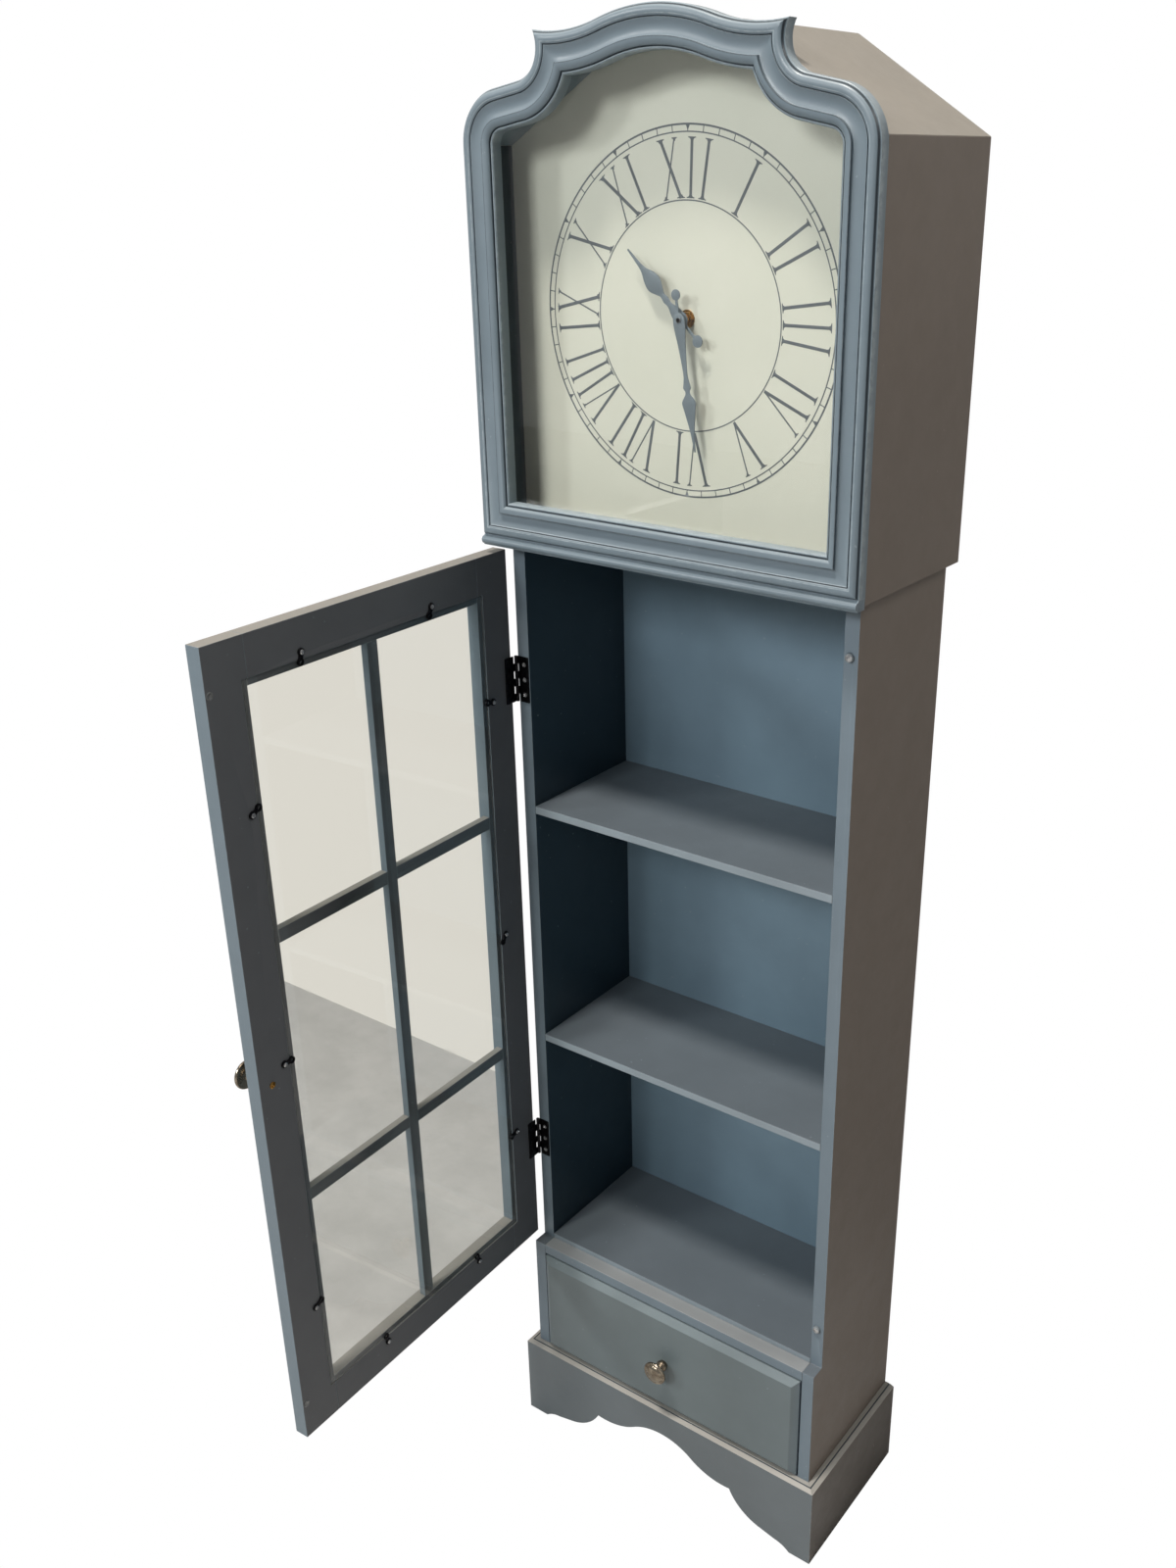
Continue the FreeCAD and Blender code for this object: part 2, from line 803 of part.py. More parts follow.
def circles_meet(first, first_radius, second, second_radius):
    """The lower of the two points where two circles cross."""
    across = second[0] - first[0]
    up = second[1] - first[1]
    apart = math.hypot(across, up)
    along = (first_radius**2 - second_radius**2 + apart**2) / (2 * apart)
    off = math.sqrt(first_radius**2 - along**2)
    x = first[0] + (along * across - off * up) / apart
    z = first[1] + (along * up + off * across) / apart
    other_x = first[0] + (along * across + off * up) / apart
    other_z = first[1] + (along * up - off * across) / apart
    return (x, z) if z < other_z else (other_x, other_z)


def ring_at(inset, height):
    """The outline's edges, moved in by an inset and forward by a height."""
    slope, lean, shoulder, neck, hollow, crest = outline_centres()
    side = hood_half.number - inset
    foot = frame_foot.number + inset
    shoulder_radius, neck_radius, hollow_radius, crest_radius = outline_radii()
    shoulder_radius -= inset
    neck_radius += inset
    hollow_radius += inset
    crest_radius -= inset
    right = [
        (side, foot),
        (side, shoulder[1]),
        (shoulder[0] + shoulder_radius * math.sin(slope), shoulder[1] + shoulder_radius * math.cos(slope)),
        (neck[0] - neck_radius * math.sin(slope), neck[1] - neck_radius * math.cos(slope)),
        circles_meet(neck, neck_radius, hollow, hollow_radius),
        (crest[0] + crest_radius * math.sin(lean), crest[1] + crest_radius * math.cos(lean)),
    ]
    centres = [None, shoulder, None, neck, hollow]
    left = [(-x, z) for x, z in reversed(right)]
    mirrored = [(-c[0], c[1]) if c else None for c in reversed(centres)]
    corners = right + left
    bends = centres + [crest] + mirrored + [None]
    y = -(hood_depth.number + height)
    edges = []
    for index, centre in enumerate(bends):
        start = vector(corners[index][0], y, corners[index][1])
        x, z = corners[(index + 1) % len(corners)]
        end = vector(x, y, z)
        if centre is None:
            edges.append(Part.LineSegment(start, end).toShape())
            continue
        middle = vector(centre[0], y, centre[1])
        outwards = (start - middle) + (end - middle)
        arc_point = middle + outwards.normalize() * (start - middle).Length
        edges.append(Part.Arc(start, arc_point, end).toShape())
    return edges


def moulding():
    """Section of the frame as (inset, height) pairs, from its outer back edge round."""
    width = {name: share * S.frame_width.number for name, share in WIDTH_SHARES}
    height = {name: share * S.frame_thickness.number for name, share in HEIGHT_SHARES}
    start = width["arris"]
    section = [(0, 0), (0, height["arris"]), (start, height["bead_foot"])]
    rise = height["bead_top"] - height["bead_foot"]
    turn = math.pi * BEAD_TURN_SHARE
    for step in range(1, BEAD_RUNS + 1):
        angle = turn * step / BEAD_RUNS
        across = start + width["outer_bead"] * (1 - math.cos(angle)) / (1 - math.cos(turn))
        section.append((across, height["bead_foot"] + rise * math.sin(angle)))
    start += width["outer_bead"]
    section.append((start + width["vee"] / 2, height["vee_foot"]))
    start += width["vee"]
    drop = height["cove_outer"] - height["cove_inner"]
    for step in range(COVE_RUNS + 1):
        share = step / COVE_RUNS
        sag = height["cove_sag"] * 4 * share * (1 - share)
        section.append((start + width["cove"] * share, height["cove_outer"] - drop * share - sag))
    start += width["cove"] + width["quirk"] / 2
    rise = height["ovolo_top"] - height["ovolo_foot"]
    for step in range(OVOLO_RUNS + 1):
        angle = math.pi / 2 * step / OVOLO_RUNS
        across = start + width["ovolo"] * math.sin(angle)
        section.append((across, height["ovolo_foot"] + rise * math.cos(angle)))
    start += width["ovolo"]
    section.append((start + width["quirk"] / 2, height["quirk_foot"]))
    section.append((start + width["quirk"], height["inner_bead"]))
    full = S.frame_width.number
    section += [(full - width["quirk"], height["inner_bead"]), (full, height["inner_edge"]), (full, 0)]
    return section


def closed_solid(name, faces):
    """A solid from the faces that close it."""
    shell = Part.makeShell(faces)
    shell.sewShape()
    solid = Part.makeSolid(shell)
    if solid.Volume < 0:
        solid.reverse()
    piece = doc.addObject("Part::Feature", name)
    piece.Shape = solid
    return piece


def make_hood_frame():
    rings = [ring_at(inset, height) for inset, height in moulding()]
    faces = []
    for ring, following in zip(rings, rings[1:] + rings[:1]):
        for edge, partner in zip(ring, following):
            faces.append(Part.makeRuledSurface(edge, partner))
    node("hood_frame", closed_solid("arched_frame", faces))


def make_hood_strip():
    """A half-round strip under the frame, with a fillet above and below."""
    back = -hood_depth
    face = -(hood_depth + S.strip_thickness)
    foot = strip_foot
    top = frame_foot
    rounding = (S.strip_height - S.strip_fillet * 2) * NOSE_SHARE
    outline = [
        (back, foot),
        (face, foot),
        (face, foot + S.strip_fillet, rounding),
        (face, top - S.strip_fillet),
        (face + S.strip_fillet, top - S.strip_fillet),
        (face + S.strip_fillet, top),
        (back, top),
    ]
    node("hood_bullnose", padded("strip", "YZ_Plane", outline, hood_half * 2, middle=True))


def make_glass_and_dial():
    glass = padded("front_glass", "XZ_Plane", hood_inside_outline(S.glass_clearance), S.hood_glass_thickness)
    node("hood_glass", put(glass, 0, -(hood_depth - S.hood_glass_thickness), 0))
    dial = padded("dial", "XZ_Plane", hood_inside_outline(0), S.dial_thickness)
    put(dial, 0, -(hood_depth - S.dial_setback - S.dial_thickness), 0)
    hole = sided("-y", S.bush_radius, hood_depth, 0, 0, dial_height, DISC_SIDES)
    node("dial_board", cut(dial, [hole]))
    battens = []
    for back in (hood_depth - S.hood_glass_thickness, dial_back):
        for low in (-hood_inside, hood_inside - S.batten_section):
            x = (low, low + S.batten_section)
            y = (-back, -back + S.batten_section)
            battens.append(board(x, y, (hood_floor_top, hood_floor_top + S.batten_height)))
    node("hood_battens", group(battens))


# Movement and hands, on the dial's centre line
dial_front = hood_depth - S.dial_setback
dial_back = dial_front - S.dial_thickness
case_back = dial_back - S.case_depth


def make_movement():
    height = dial_height
    case = put(round_box(S.case_side, S.case_corner_radius, S.case_depth), 0, -case_back, height)
    through = rod("-y", S.arbor_radius + S.running_clearance, hood_depth, 0, 0, height)
    bore = S.pipe_radius + S.running_clearance
    pipe_well = rod("y", bore, S.pipe_well_depth, 0, -dial_back, height)
    bay_top = height - S.case_side / 2 + S.case_wall + S.battery_radius * 2
    bay = board(
        (-S.battery_length / 2, S.battery_length / 2),
        (-(dial_back - S.case_wall), -case_back + S.overrun),
        (height - S.case_side / 2 + S.case_wall, bay_top),
    )
    node("movement_case", cut(case, [through, pipe_well, bay]))
    battery_y = -(dial_back - S.case_wall - S.battery_radius)
    battery_z = height - S.case_side / 2 + S.case_wall + S.battery_radius
    start = -S.battery_length / 2
    node("battery", sided("x", S.battery_radius, S.battery_length, start, battery_y, battery_z, DISC_SIDES))

    bush_top = dial_front + S.bush_length
    tube = sided("-y", S.bush_radius, bush_top - dial_back, 0, -dial_back, height, DISC_SIDES)
    bush = cut(tube, [rod("-y", bore, hood_depth, 0, 0, height)])
    nut_radius = S.nut_across_flats / math.sqrt(3)
    nut_start = -(dial_front + S.washer_thickness)
    nut = sided("-y", nut_radius, S.nut_thickness, 0, nut_start, height, NUT_SIDES)
    washer = sided("-y", S.washer_radius, S.washer_thickness, 0, -dial_front, height, DISC_SIDES)
    through_nut = sided("-y", S.bush_radius, hood_depth, 0, 0, height, DISC_SIDES)
    stack = cut(join([nut, washer]), [through_nut])
    node("movement_bush", group([bush, stack]))


def flat_face(corners):
    """A flat face with straight edges between its corners."""
    return Part.Face(Part.makePolygon(corners + corners[:1]))


def flat_piece(outline):
    """A flat piece of the hands' sheet from its outline."""
    return flat_face(outline).extrude(vector(0, -S.hand_thickness.number, 0))


def blade(shares, length, width):
    """A flat hand's blade, smooth on both sides, pointing up from the pivot."""
    curve = Part.BSplineCurve()
    curve.interpolate([vector(width * across, 0, length * along) for along, across in shares])
    right = curve.discretize(Number=len(shares) * 2)
    left = [vector(-point.x, 0, point.z) for point in reversed(right)]
    return flat_piece(right + left)


def flat_disc(radius, z):
    """A many-sided disc of the hands' sheet."""
    outline = []
    for step in range(HAND_SIDES):
        angle = math.pi * 2 * step / HAND_SIDES
        outline.append(vector(radius * math.cos(angle), 0, z + radius * math.sin(angle)))
    return flat_piece(outline)


def hand_shape(shares, length, width, tail, bore):
    """Blade, hub, tail stem and tail ball, all of one sheet, with the hub's hole."""
    thick = -S.hand_thickness.number
    ball_radius = width * HAND_BALL_SHARE
    stem_half = width * HAND_STEM_SHARE
    corner = vector(-stem_half, thick, -(tail - ball_radius))
    stem = Part.makeBox(stem_half * 2, -thick, tail - ball_radius, corner)
    discs = [flat_disc(width * HAND_HUB_SHARE, 0), flat_disc(ball_radius, -(tail - ball_radius))]
    whole = blade(shares, length, width).fuse(discs + [stem]).removeSplitter()
    hole = Part.makeCylinder(bore, -thick * 3, vector(0, -thick, 0), vector(0, -1, 0))
    return whole.cut(hole)


def make_hands():
    height = dial_height
    minute_y = -(dial_front + S.minute_standoff)
    hour_y = -(dial_front + S.hour_standoff)
    arbor = S.arbor_radius.number

    minute = doc.addObject("Part::Feature", "minute_sheet")
    minute.Shape = hand_shape(
        MINUTE_BLADE_SHARES, S.minute_length.number, S.minute_width.number, S.minute_tail.number, arbor
    )
    node("minute_hand", put(minute, 0, minute_y, height, Y_AXIS, S.minute_angle))

    pipe_bore = S.arbor_radius + S.running_clearance
    hour = doc.addObject("Part::Feature", "hour_sheet")
    pipe_radius = S.pipe_radius.number
    hour.Shape = hand_shape(
        HOUR_BLADE_SHARES, S.hour_length.number, S.hour_width.number, S.hour_tail.number, pipe_radius
    )
    put(hour, 0, hour_y, height, Y_AXIS, S.hour_angle)
    pipe_length = S.hour_standoff + S.hand_thickness + S.dial_thickness + S.pipe_reach
    pipe_start = -(dial_front + S.hour_standoff + S.hand_thickness)
    pipe = rod("y", S.pipe_radius, pipe_length, 0, pipe_start, height)
    bored = cut(pipe, [rod("-y", pipe_bore, hood_depth + S.overrun, 0, 0, height)])
    node("hour_hand", join([hour, bored]))

    tip = dial_front + S.minute_standoff + S.hand_thickness + S.arbor_tip
    arbor_rod = rod("y", S.arbor_radius, tip - case_back, 0, -tip, height)
    wheel_start = -(case_back - S.setting_wheel_gap)
    thickness = S.setting_wheel_thickness
    wheel = sided("y", S.setting_wheel_radius, thickness, 0, wheel_start, height, DISC_SIDES)
    stub = rod("y", S.arbor_radius, S.setting_wheel_thickness, 0, -case_back, height)
    node("minute_arbor", join([arbor_rod, stub, wheel]))


# Door: two stiles and two rails with a rebate for one sheet of glass, a grid of glazing
# bars in front of the glass, and turn-buttons behind it
opening_left = door_start + S.stile_width
opening_right = door_end - S.stile_width
opening_foot = door_foot + S.rail_width
opening_top = door_top - S.rail_width
rebate_left = opening_left - S.rebate_width
rebate_right = opening_right + S.rebate_width
rebate_foot = opening_foot - S.rebate_width
rebate_top = opening_top + S.rebate_width
rebate_floor = door_back - S.rebate_depth
knob_x = door_end - S.door_knob_edge
knob_z = (door_foot + door_top) / 2


def clip_places():
    """Pivot and direction of each turn-button, clockwise from the top left one."""
    width = rebate_right - rebate_left
    height = rebate_top - rebate_foot
    for share, tilt in TOP_CLIP_SHARES:
        yield rebate_left + width * share, rebate_top + S.clip_setback, 90 - tilt
    for share, tilt in LATCH_CLIP_SHARES:
        yield rebate_right + S.clip_setback, rebate_foot + height * share, 180 + tilt
    for share, tilt in BOTTOM_CLIP_SHARES:
        yield rebate_left + width * share, rebate_foot - S.clip_setback, -90 - tilt
    for share, tilt in HINGE_CLIP_SHARES:
        yield rebate_left - S.clip_setback, rebate_foot + height * share, tilt


def clip_pilots(x, z):
    """Pilot holes of the turn-button screws whose pivots lie in a board's bounds."""
    found = []
    for pivot_x, pivot_z, _ in clip_places():
        if x[0].number < pivot_x.number < x[1].number and z[0].number < pivot_z.number < z[1].number:
            depth = S.clip_screw_length
            found.append(sided("-y", S.clip_screw_radius, depth, pivot_x, door_back, pivot_z))
    return found


def make_door_frame():
    thickness = (door_front, door_back)
    stiles = {
        "door_stile_hinge": (door_start, opening_left),
        "door_stile_latch": (opening_right, door_end),
    }
    for name, x in stiles.items():
        z = (door_foot, door_top)
        rebate = board(
            (rebate_left, rebate_right), (rebate_floor, door_back + S.overrun), (rebate_foot, rebate_top)
        )
        tools = [rebate] + clip_pilots(x, z)
        if name == "door_stile_hinge":
            screw_x = S.door_leaf_reach - S.leaf_screw_inset
            for height in leaf_screw_heights():
                depth = S.leaf_screw_length - S.leaf_thickness
                tools.append(sided("-y", S.leaf_screw_radius, depth, screw_x, door_back, height))
        else:
            tools.append(sided("-y", S.knob_screw_radius, S.door_thickness, knob_x, door_back, knob_z))
        node(name, on_door(cut(board(x, thickness, z), tools)))
    rails = {
        "door_rail_top": (opening_top, door_top),
        "door_rail_bottom": (door_foot, opening_foot),
    }
    for name, z in rails.items():
        x = (opening_left, opening_right)
        rebate = board(x, (rebate_floor, door_back + S.overrun), (rebate_foot, rebate_top))
        node(name, on_door(cut(board(x, thickness, z), [rebate] + clip_pilots(x, z))))


def make_glazing():
    depth = (door_front + S.bar_setback, rebate_floor)
    middle = (opening_left + opening_right) / 2
    upright = (middle - S.bar_width / 2, middle + S.bar_width / 2)
    node("glazing_bar_upright", on_door(group([board(upright, depth, (opening_foot, opening_top))])))
    bars = []
    for shelf_top in shelf_tops.values():
        centre = shelf_top - S.shelf_thickness / 2
        z = (centre - S.cross_bar_height / 2, centre + S.cross_bar_height / 2)
        for x in ((opening_left, upright[0]), (upright[1], opening_right)):
            bars.append(board(x, depth, z))
    node("glazing_bars_cross", on_door(group(bars)))
    gap = S.glass_clearance
    pane = board(
        (rebate_left + gap, rebate_right - gap),
        (rebate_floor, rebate_floor + S.door_glass_thickness),
        (rebate_foot, rebate_top - gap),
    )
    node("door_glass", on_door(group([pane])))


def make_clip(index, x, z, angle):
    """One two-lobed turn-button, which turns on a screw through its outer lobe."""
    flat = [
        sided("y", S.clip_lobe_radius, S.clip_thickness, sides=HEAD_SIDES),
        sided("y", S.clip_lobe_radius, S.clip_thickness, S.clip_pitch, sides=HEAD_SIDES),
        board((0, S.clip_pitch), (0, S.clip_thickness), (-S.clip_waist / 2, S.clip_waist / 2)),
    ]
    hole = S.clip_screw_radius + S.running_clearance
    depth = S.clip_thickness + S.overrun
    start = -S.overrun / 2
    holes = [sided("y", hole, depth, centre, start, sides=PIVOT_SIDES) for centre in (0, S.clip_pitch)]
    clip = put(cut(join(flat), holes), x, door_back + S.clip_lift, z, Y_AXIS, angle)
    node(f"glass_clip_{index:02d}", on_door(group([clip])))


def make_door_fittings():
    for index, (x, z, angle) in enumerate(clip_places(), start=1):
        make_clip(index, x, z, angle)

    screws = []
    for x, z, _ in clip_places():
        head_back = door_back + S.clip_lift + S.clip_thickness + S.clip_play
        head = sided("y", S.clip_screw_head_radius, S.clip_screw_head_height, x, head_back, z, HEAD_SIDES)
        shank_start = door_back - S.clip_screw_length
        shank = sided("y", S.clip_screw_radius, head_back - shank_start, x, shank_start, z)
        screws.append(join([head, shank]))
    for height in leaf_screw_heights():
        x = S.door_leaf_reach - S.leaf_screw_inset
        screws.append(leaf_screw("-y", x, door_back + S.leaf_thickness, height))
    node("door_screws", on_door(group(screws)))

    strikes = []
    for height in magnet_heights:
        x = magnet_x - hinge_x
        strikes.append(sided("y", S.strike_radius, S.strike_thickness, x, door_back, height, DISC_SIDES))
    node("strike_discs", on_door(group(strikes)))


# Hinges: three knuckles on each leaf, side by side on one pin
def leaf_screw(along, x, face, height):
    """A low-headed screw whose head sits on a leaf; it runs along the given way."""
    back = "-y" if along == "y" else "y"
    shank = sided(along, S.leaf_screw_radius, S.leaf_screw_length, x, face, height)
    head = sided(back, S.leaf_screw_head_radius, S.leaf_screw_head_height, x, face, height, HEAD_SIDES)
    return join([shank, head])


def make_leaf(height, y, reach, first_knuckle, bore):
    """One hinge leaf in the hinge's own frame, its plate between two Y bounds."""
    length = S.hinge_length
    foot = height - length / 2
    pitch = length / 6
    parts = [board((S.leaf_notch, reach), y, (foot, foot + length))]
    for step in (0, 2, 4):
        low = foot + pitch * (first_knuckle + step)
        z = (low + S.knuckle_gap / 2, low + pitch - S.knuckle_gap / 2)
        parts.append(sided("z", S.knuckle_radius, z[1] - z[0], 0, 0, z[0], HEAD_SIDES))
        parts.append(board((0, S.leaf_notch), y, z))
    tools = [sided("z", bore, length + S.overrun * 2, 0, 0, foot - S.overrun, HEAD_SIDES)]
    for step in (-1, 0, 1):
        x = reach - S.leaf_screw_inset
        z = height + S.leaf_screw_pitch * step
        tools.append(sided("y", S.leaf_screw_radius, S.knuckle_radius * 4, x, -S.knuckle_radius * 2, z))
    return cut(join(parts), tools)


def make_hinges():
    inner = S.hinge_axis_forward - S.leaf_thickness
    flat_share = math.cos(math.pi / HEAD_SIDES)
    frame_leaves = []
    door_leaves = []
    pins = []
    for height in hinge_heights:
        y = (inner, S.hinge_axis_forward)
        frame_leaves.append(make_leaf(height, y, S.frame_leaf_reach, 1, S.hinge_pin_radius / flat_share))
        bore = S.hinge_pin_radius + S.running_clearance
        y = (-S.hinge_axis_forward, -inner)
        door_leaves.append(make_leaf(height, y, S.door_leaf_reach, 0, bore))
        pins.append(rod("z", S.hinge_pin_radius, S.hinge_length, 0, 0, height - S.hinge_length / 2))
    node("hinge_leaves_frame", put(group(frame_leaves), hinge_x, hinge_y, 0))
    node("hinge_pins", put(group(pins), hinge_x, hinge_y, 0))
    node("hinge_leaves_door", on_door(group(door_leaves)))
    screws = []
    for height in leaf_screw_heights():
        face = -(S.trunk_depth + S.leaf_thickness)
        screws.append(leaf_screw("y", frame_screw_x(), face, height))
    node("frame_leaf_screws", group(screws))


# Knobs: one turned form on the door and one on the drawer, each held by a screw from
# the back
def knob_section():
    """Radius and height of each ring of the knob, its arcs divided into straight runs."""
    rings = []
    for (across, up, bend, runs), following in zip(KNOB_SHARES, KNOB_SHARES[1:] + KNOB_SHARES[-1:]):
        here = vector(S.knob_radius.number * across, S.knob_height.number * up, 0)
        there = vector(S.knob_radius.number * following[0], S.knob_height.number * following[1], 0)
        rings.append((here.x, here.y))
        if runs > 1:
            middle = arc_middle(here, there, S.knob_radius.number * bend)
            arc = Part.Arc(here, middle, there).toShape()
            rings += [(point.x, point.y) for point in arc.discretize(Number=runs + 1)[1:-1]]
    return rings


def make_knob_body():
    """One knob about +Z, with many sides and a blind hole for its screw."""
    rings = []
    for radius, height in knob_section():
        angles = [math.pi * 2 * side / DISC_SIDES for side in range(DISC_SIDES)]
        rings.append([vector(radius * math.cos(a), radius * math.sin(a), height) for a in angles])
    faces = [flat_face(rings[0]), flat_face(rings[-1])]
    for ring, following in zip(rings, rings[1:]):
        for side in range(DISC_SIDES):
            faces.append(flat_face([ring[side - 1], ring[side], following[side], following[side - 1]]))
    turned = closed_solid("turned_knob", faces)
    return cut(turned, [sided("z", S.knob_screw_radius, S.knob_screw_bite)])


def knob_and_screw(x, face, back, z):
    """The knob stands out from a face along -Y; its screw comes from a back face."""
    knob = group([put(make_knob_body(), x, face, z, X_AXIS, 90)])
    length = back - face + S.knob_screw_bite
    shank = sided("-y", S.knob_screw_radius, length, x, back, z)
    head = sided("y", S.knob_screw_head_radius, S.knob_screw_head_height, x, back, z, HEAD_SIDES)
    return knob, join([shank, head])


# Drawer, which runs on the base board between the trunk sides
drawer_half = inside - S.drawer_gap
drawer_foot = base_top + S.drawer_running_gap
drawer_face = front + S.drawer_front_proud
drawer_front_back = drawer_face - S.drawer_front_thickness
drawer_end = S.back_thickness + S.drawer_back_gap


def make_drawer():
    low = base_top + S.drawer_gap
    high = rail_foot - S.drawer_gap
    bevel_back = drawer_face - S.drawer_bevel_depth
    slab = board((-drawer_half, drawer_half), (-bevel_back, -drawer_front_back), (low, high))
    raised = doc.addObject("Part::Wedge", "bevelled_face")
    inset = S.drawer_bevel_width
    bounds = {
        "Xmin": -drawer_half + inset,
        "Xmax": drawer_half - inset,
        "Zmin": low + inset,
        "Zmax": high - inset,
        "Ymin": -drawer_face,
        "Ymax": -bevel_back,
        "X2min": -drawer_half,
        "X2max": drawer_half,
        "Z2min": low,
        "Z2max": high,
    }
    for name, size in bounds.items():
        setattr(raised, name, size.number)
        bind(raised, name, size)
    knob_z_drawer = (low + high) / 2
    hole = sided("-y", S.knob_screw_radius, S.drawer_front_thickness, 0, -drawer_front_back, knob_z_drawer)
    node("drawer_front", cut(join([slab, raised]), [hole]))

    foot = drawer_foot
    top = foot + S.drawer_side_height
    length = (-drawer_front_back, -drawer_end)
    box = []
    for low_x in (-drawer_half, drawer_half - S.drawer_board):
        box.append(board((low_x, low_x + S.drawer_board), length, (foot, top)))
    between = (-(drawer_half - S.drawer_board), drawer_half - S.drawer_board)
    box.append(board(between, (-(drawer_end + S.drawer_board), -drawer_end), (foot, top)))
    node("drawer_box", group(box))
    bottom = foot + S.drawer_bottom_lift
    inner_length = (-drawer_front_back, -(drawer_end + S.drawer_board))
    node("drawer_bottom", board(between, inner_length, (bottom, bottom + S.drawer_bottom_thickness)))

    knob, screw = knob_and_screw(0, -drawer_face, -drawer_front_back, knob_z_drawer)
    node("drawer_knob", knob)
    node("drawer_knob_screw", screw)


def make_door_knob():
    knob, screw = knob_and_screw(knob_x, door_front, door_back, knob_z)
    node("door_knob", on_door(knob))
    node("door_knob_screw", on_door(screw))


make_sides()
make_trunk_boards()
make_plinth()
make_hood_box()
make_hood_back()
make_hood_frame()
make_hood_strip()
make_glass_and_dial()
make_movement()
make_hands()
make_door_frame()
make_glazing()
make_door_fittings()
make_hinges()
make_door_knob()
make_drawer()
doc.recompute()


def check(piece, name):
    """Stop if an object failed to build or its solid isn't sound."""
    if "Invalid" in piece.State or "Error" in piece.State:
        raise RuntimeError(f"{name} failed: {piece.State}")


for built in doc.Objects:
    check(built, built.Name)
os.makedirs("parts", exist_ok=True)
total = 0
for name, piece in nodes.items():
    shape = piece.Shape
    if shape.isNull() or not shape.isValid() or shape.Volume <= 0:
        raise RuntimeError(f"{name} has no sound solid")
    shape.exportStep(f"parts/{name}.step")
    total += len(shape.Solids)
print(f"{len(nodes)} nodes, {total} solids")
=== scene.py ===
# %% [markdown]
# # A tall painted clock cabinet
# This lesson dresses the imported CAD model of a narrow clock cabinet: an arched hood with
# a dial behind glass, an open cupboard with two shelves and a glazed door, and a drawer in
# a plinth with a scalloped foot. The CAD boards already have the right place and size, so
# each step below either gives a board a finish, or puts a finer surface in its place.

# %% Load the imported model
import json
import math

import bmesh
import bpy
import numpy as np
from mathutils import Matrix, Vector
from mathutils.geometry import tessellate_polygon


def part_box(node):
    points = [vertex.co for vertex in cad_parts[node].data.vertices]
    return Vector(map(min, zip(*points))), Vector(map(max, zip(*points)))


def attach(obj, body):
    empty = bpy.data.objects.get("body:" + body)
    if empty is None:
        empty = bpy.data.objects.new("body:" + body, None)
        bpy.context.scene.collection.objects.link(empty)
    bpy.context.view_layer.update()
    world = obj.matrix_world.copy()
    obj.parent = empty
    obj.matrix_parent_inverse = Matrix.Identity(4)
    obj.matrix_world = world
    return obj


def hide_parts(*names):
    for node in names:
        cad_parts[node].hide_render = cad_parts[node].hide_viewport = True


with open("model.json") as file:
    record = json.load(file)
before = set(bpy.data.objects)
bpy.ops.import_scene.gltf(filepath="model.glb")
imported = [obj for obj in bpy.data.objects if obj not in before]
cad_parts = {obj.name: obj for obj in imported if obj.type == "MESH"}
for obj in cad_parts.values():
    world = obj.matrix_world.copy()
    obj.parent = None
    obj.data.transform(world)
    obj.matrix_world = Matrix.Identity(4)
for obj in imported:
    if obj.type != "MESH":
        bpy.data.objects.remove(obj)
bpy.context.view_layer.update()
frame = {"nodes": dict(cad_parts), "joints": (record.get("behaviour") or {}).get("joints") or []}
MM = 0.001
RIGHTWARD = Vector((1, 0, 0))
FORWARD = Vector((0, -1, 0))
UPWARD = Vector((0, 0, 1))
joints = {joint["name"]: joint for joint in frame["joints"]}

# %% [markdown]
# ## Levels that come from the boards
# Every new surface is worked out from the boards that carry it.

# %% Read the levels
strip_low, strip_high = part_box("hood_bullnose")
frame_low, frame_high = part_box("hood_frame")
hood_half = strip_high.x
frame_foot = strip_high.z
frame_back = frame_high.y
frame_thickness = frame_high.y - frame_low.y
shoulder_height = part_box("hood_side_right")[1].z
roof_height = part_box("hood_roof_top")[1].z
dial_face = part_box("dial_board")[0].y
dial_height = joints["minute_turn"]["pos_m"][2]
dial_centre = Vector((0, dial_face, dial_height))
hinge_line = Vector(joints["door_swing"]["pos_m"])
DOOR_OPEN = math.radians(88)
door_across = Vector((math.cos(DOOR_OPEN), -math.sin(DOOR_OPEN), 0))
door_inward = Vector((math.sin(DOOR_OPEN), math.cos(DOOR_OPEN), 0))
print("dial centre:", tuple(round(v, 4) for v in dial_centre))

# %% [markdown]
# ## Colours
# A paint chip is easiest to write as the 0 to 255 numbers that a screen shows. Blender
# mixes light in linear values, so each number goes through the sRGB curve first.


# %% Colours
def paint_chip(red, green, blue):
    """Linear colour of a screen colour: ((c + 0.055) / 1.055) ** 2.4, or c / 12.92 when dark."""
    c = np.array([red, green, blue]) / 255
    linear = np.where(c > 0.04045, ((c + 0.055) / 1.055) ** 2.4, c / 12.92)
    return (*linear.tolist(), 1.0)


SLATE = paint_chip(110, 124, 134)
SLATE_LIGHT = paint_chip(110, 124, 133)
SLATE_EDGE = paint_chip(160, 172, 178)
# The cabinet is one slate paint, and most colours below are lit and shaded copies of it. The back panel's
# colour: painted light.
CUPBOARD_BACK = paint_chip(112, 135, 150)
# The insides of the cupboard and of the hood, and the shelves' tops: painted shade.
CUPBOARD_SIDE = paint_chip(36, 56, 68)
HOOD_WELL = paint_chip(36, 46, 54)
SHELF_TOP = paint_chip(101, 110, 117)
# The ledge's top and the shelves' front edges: painted light.
LEDGE_TOP = paint_chip(146, 150, 152)
SHELF_EDGE = paint_chip(138, 150, 158)
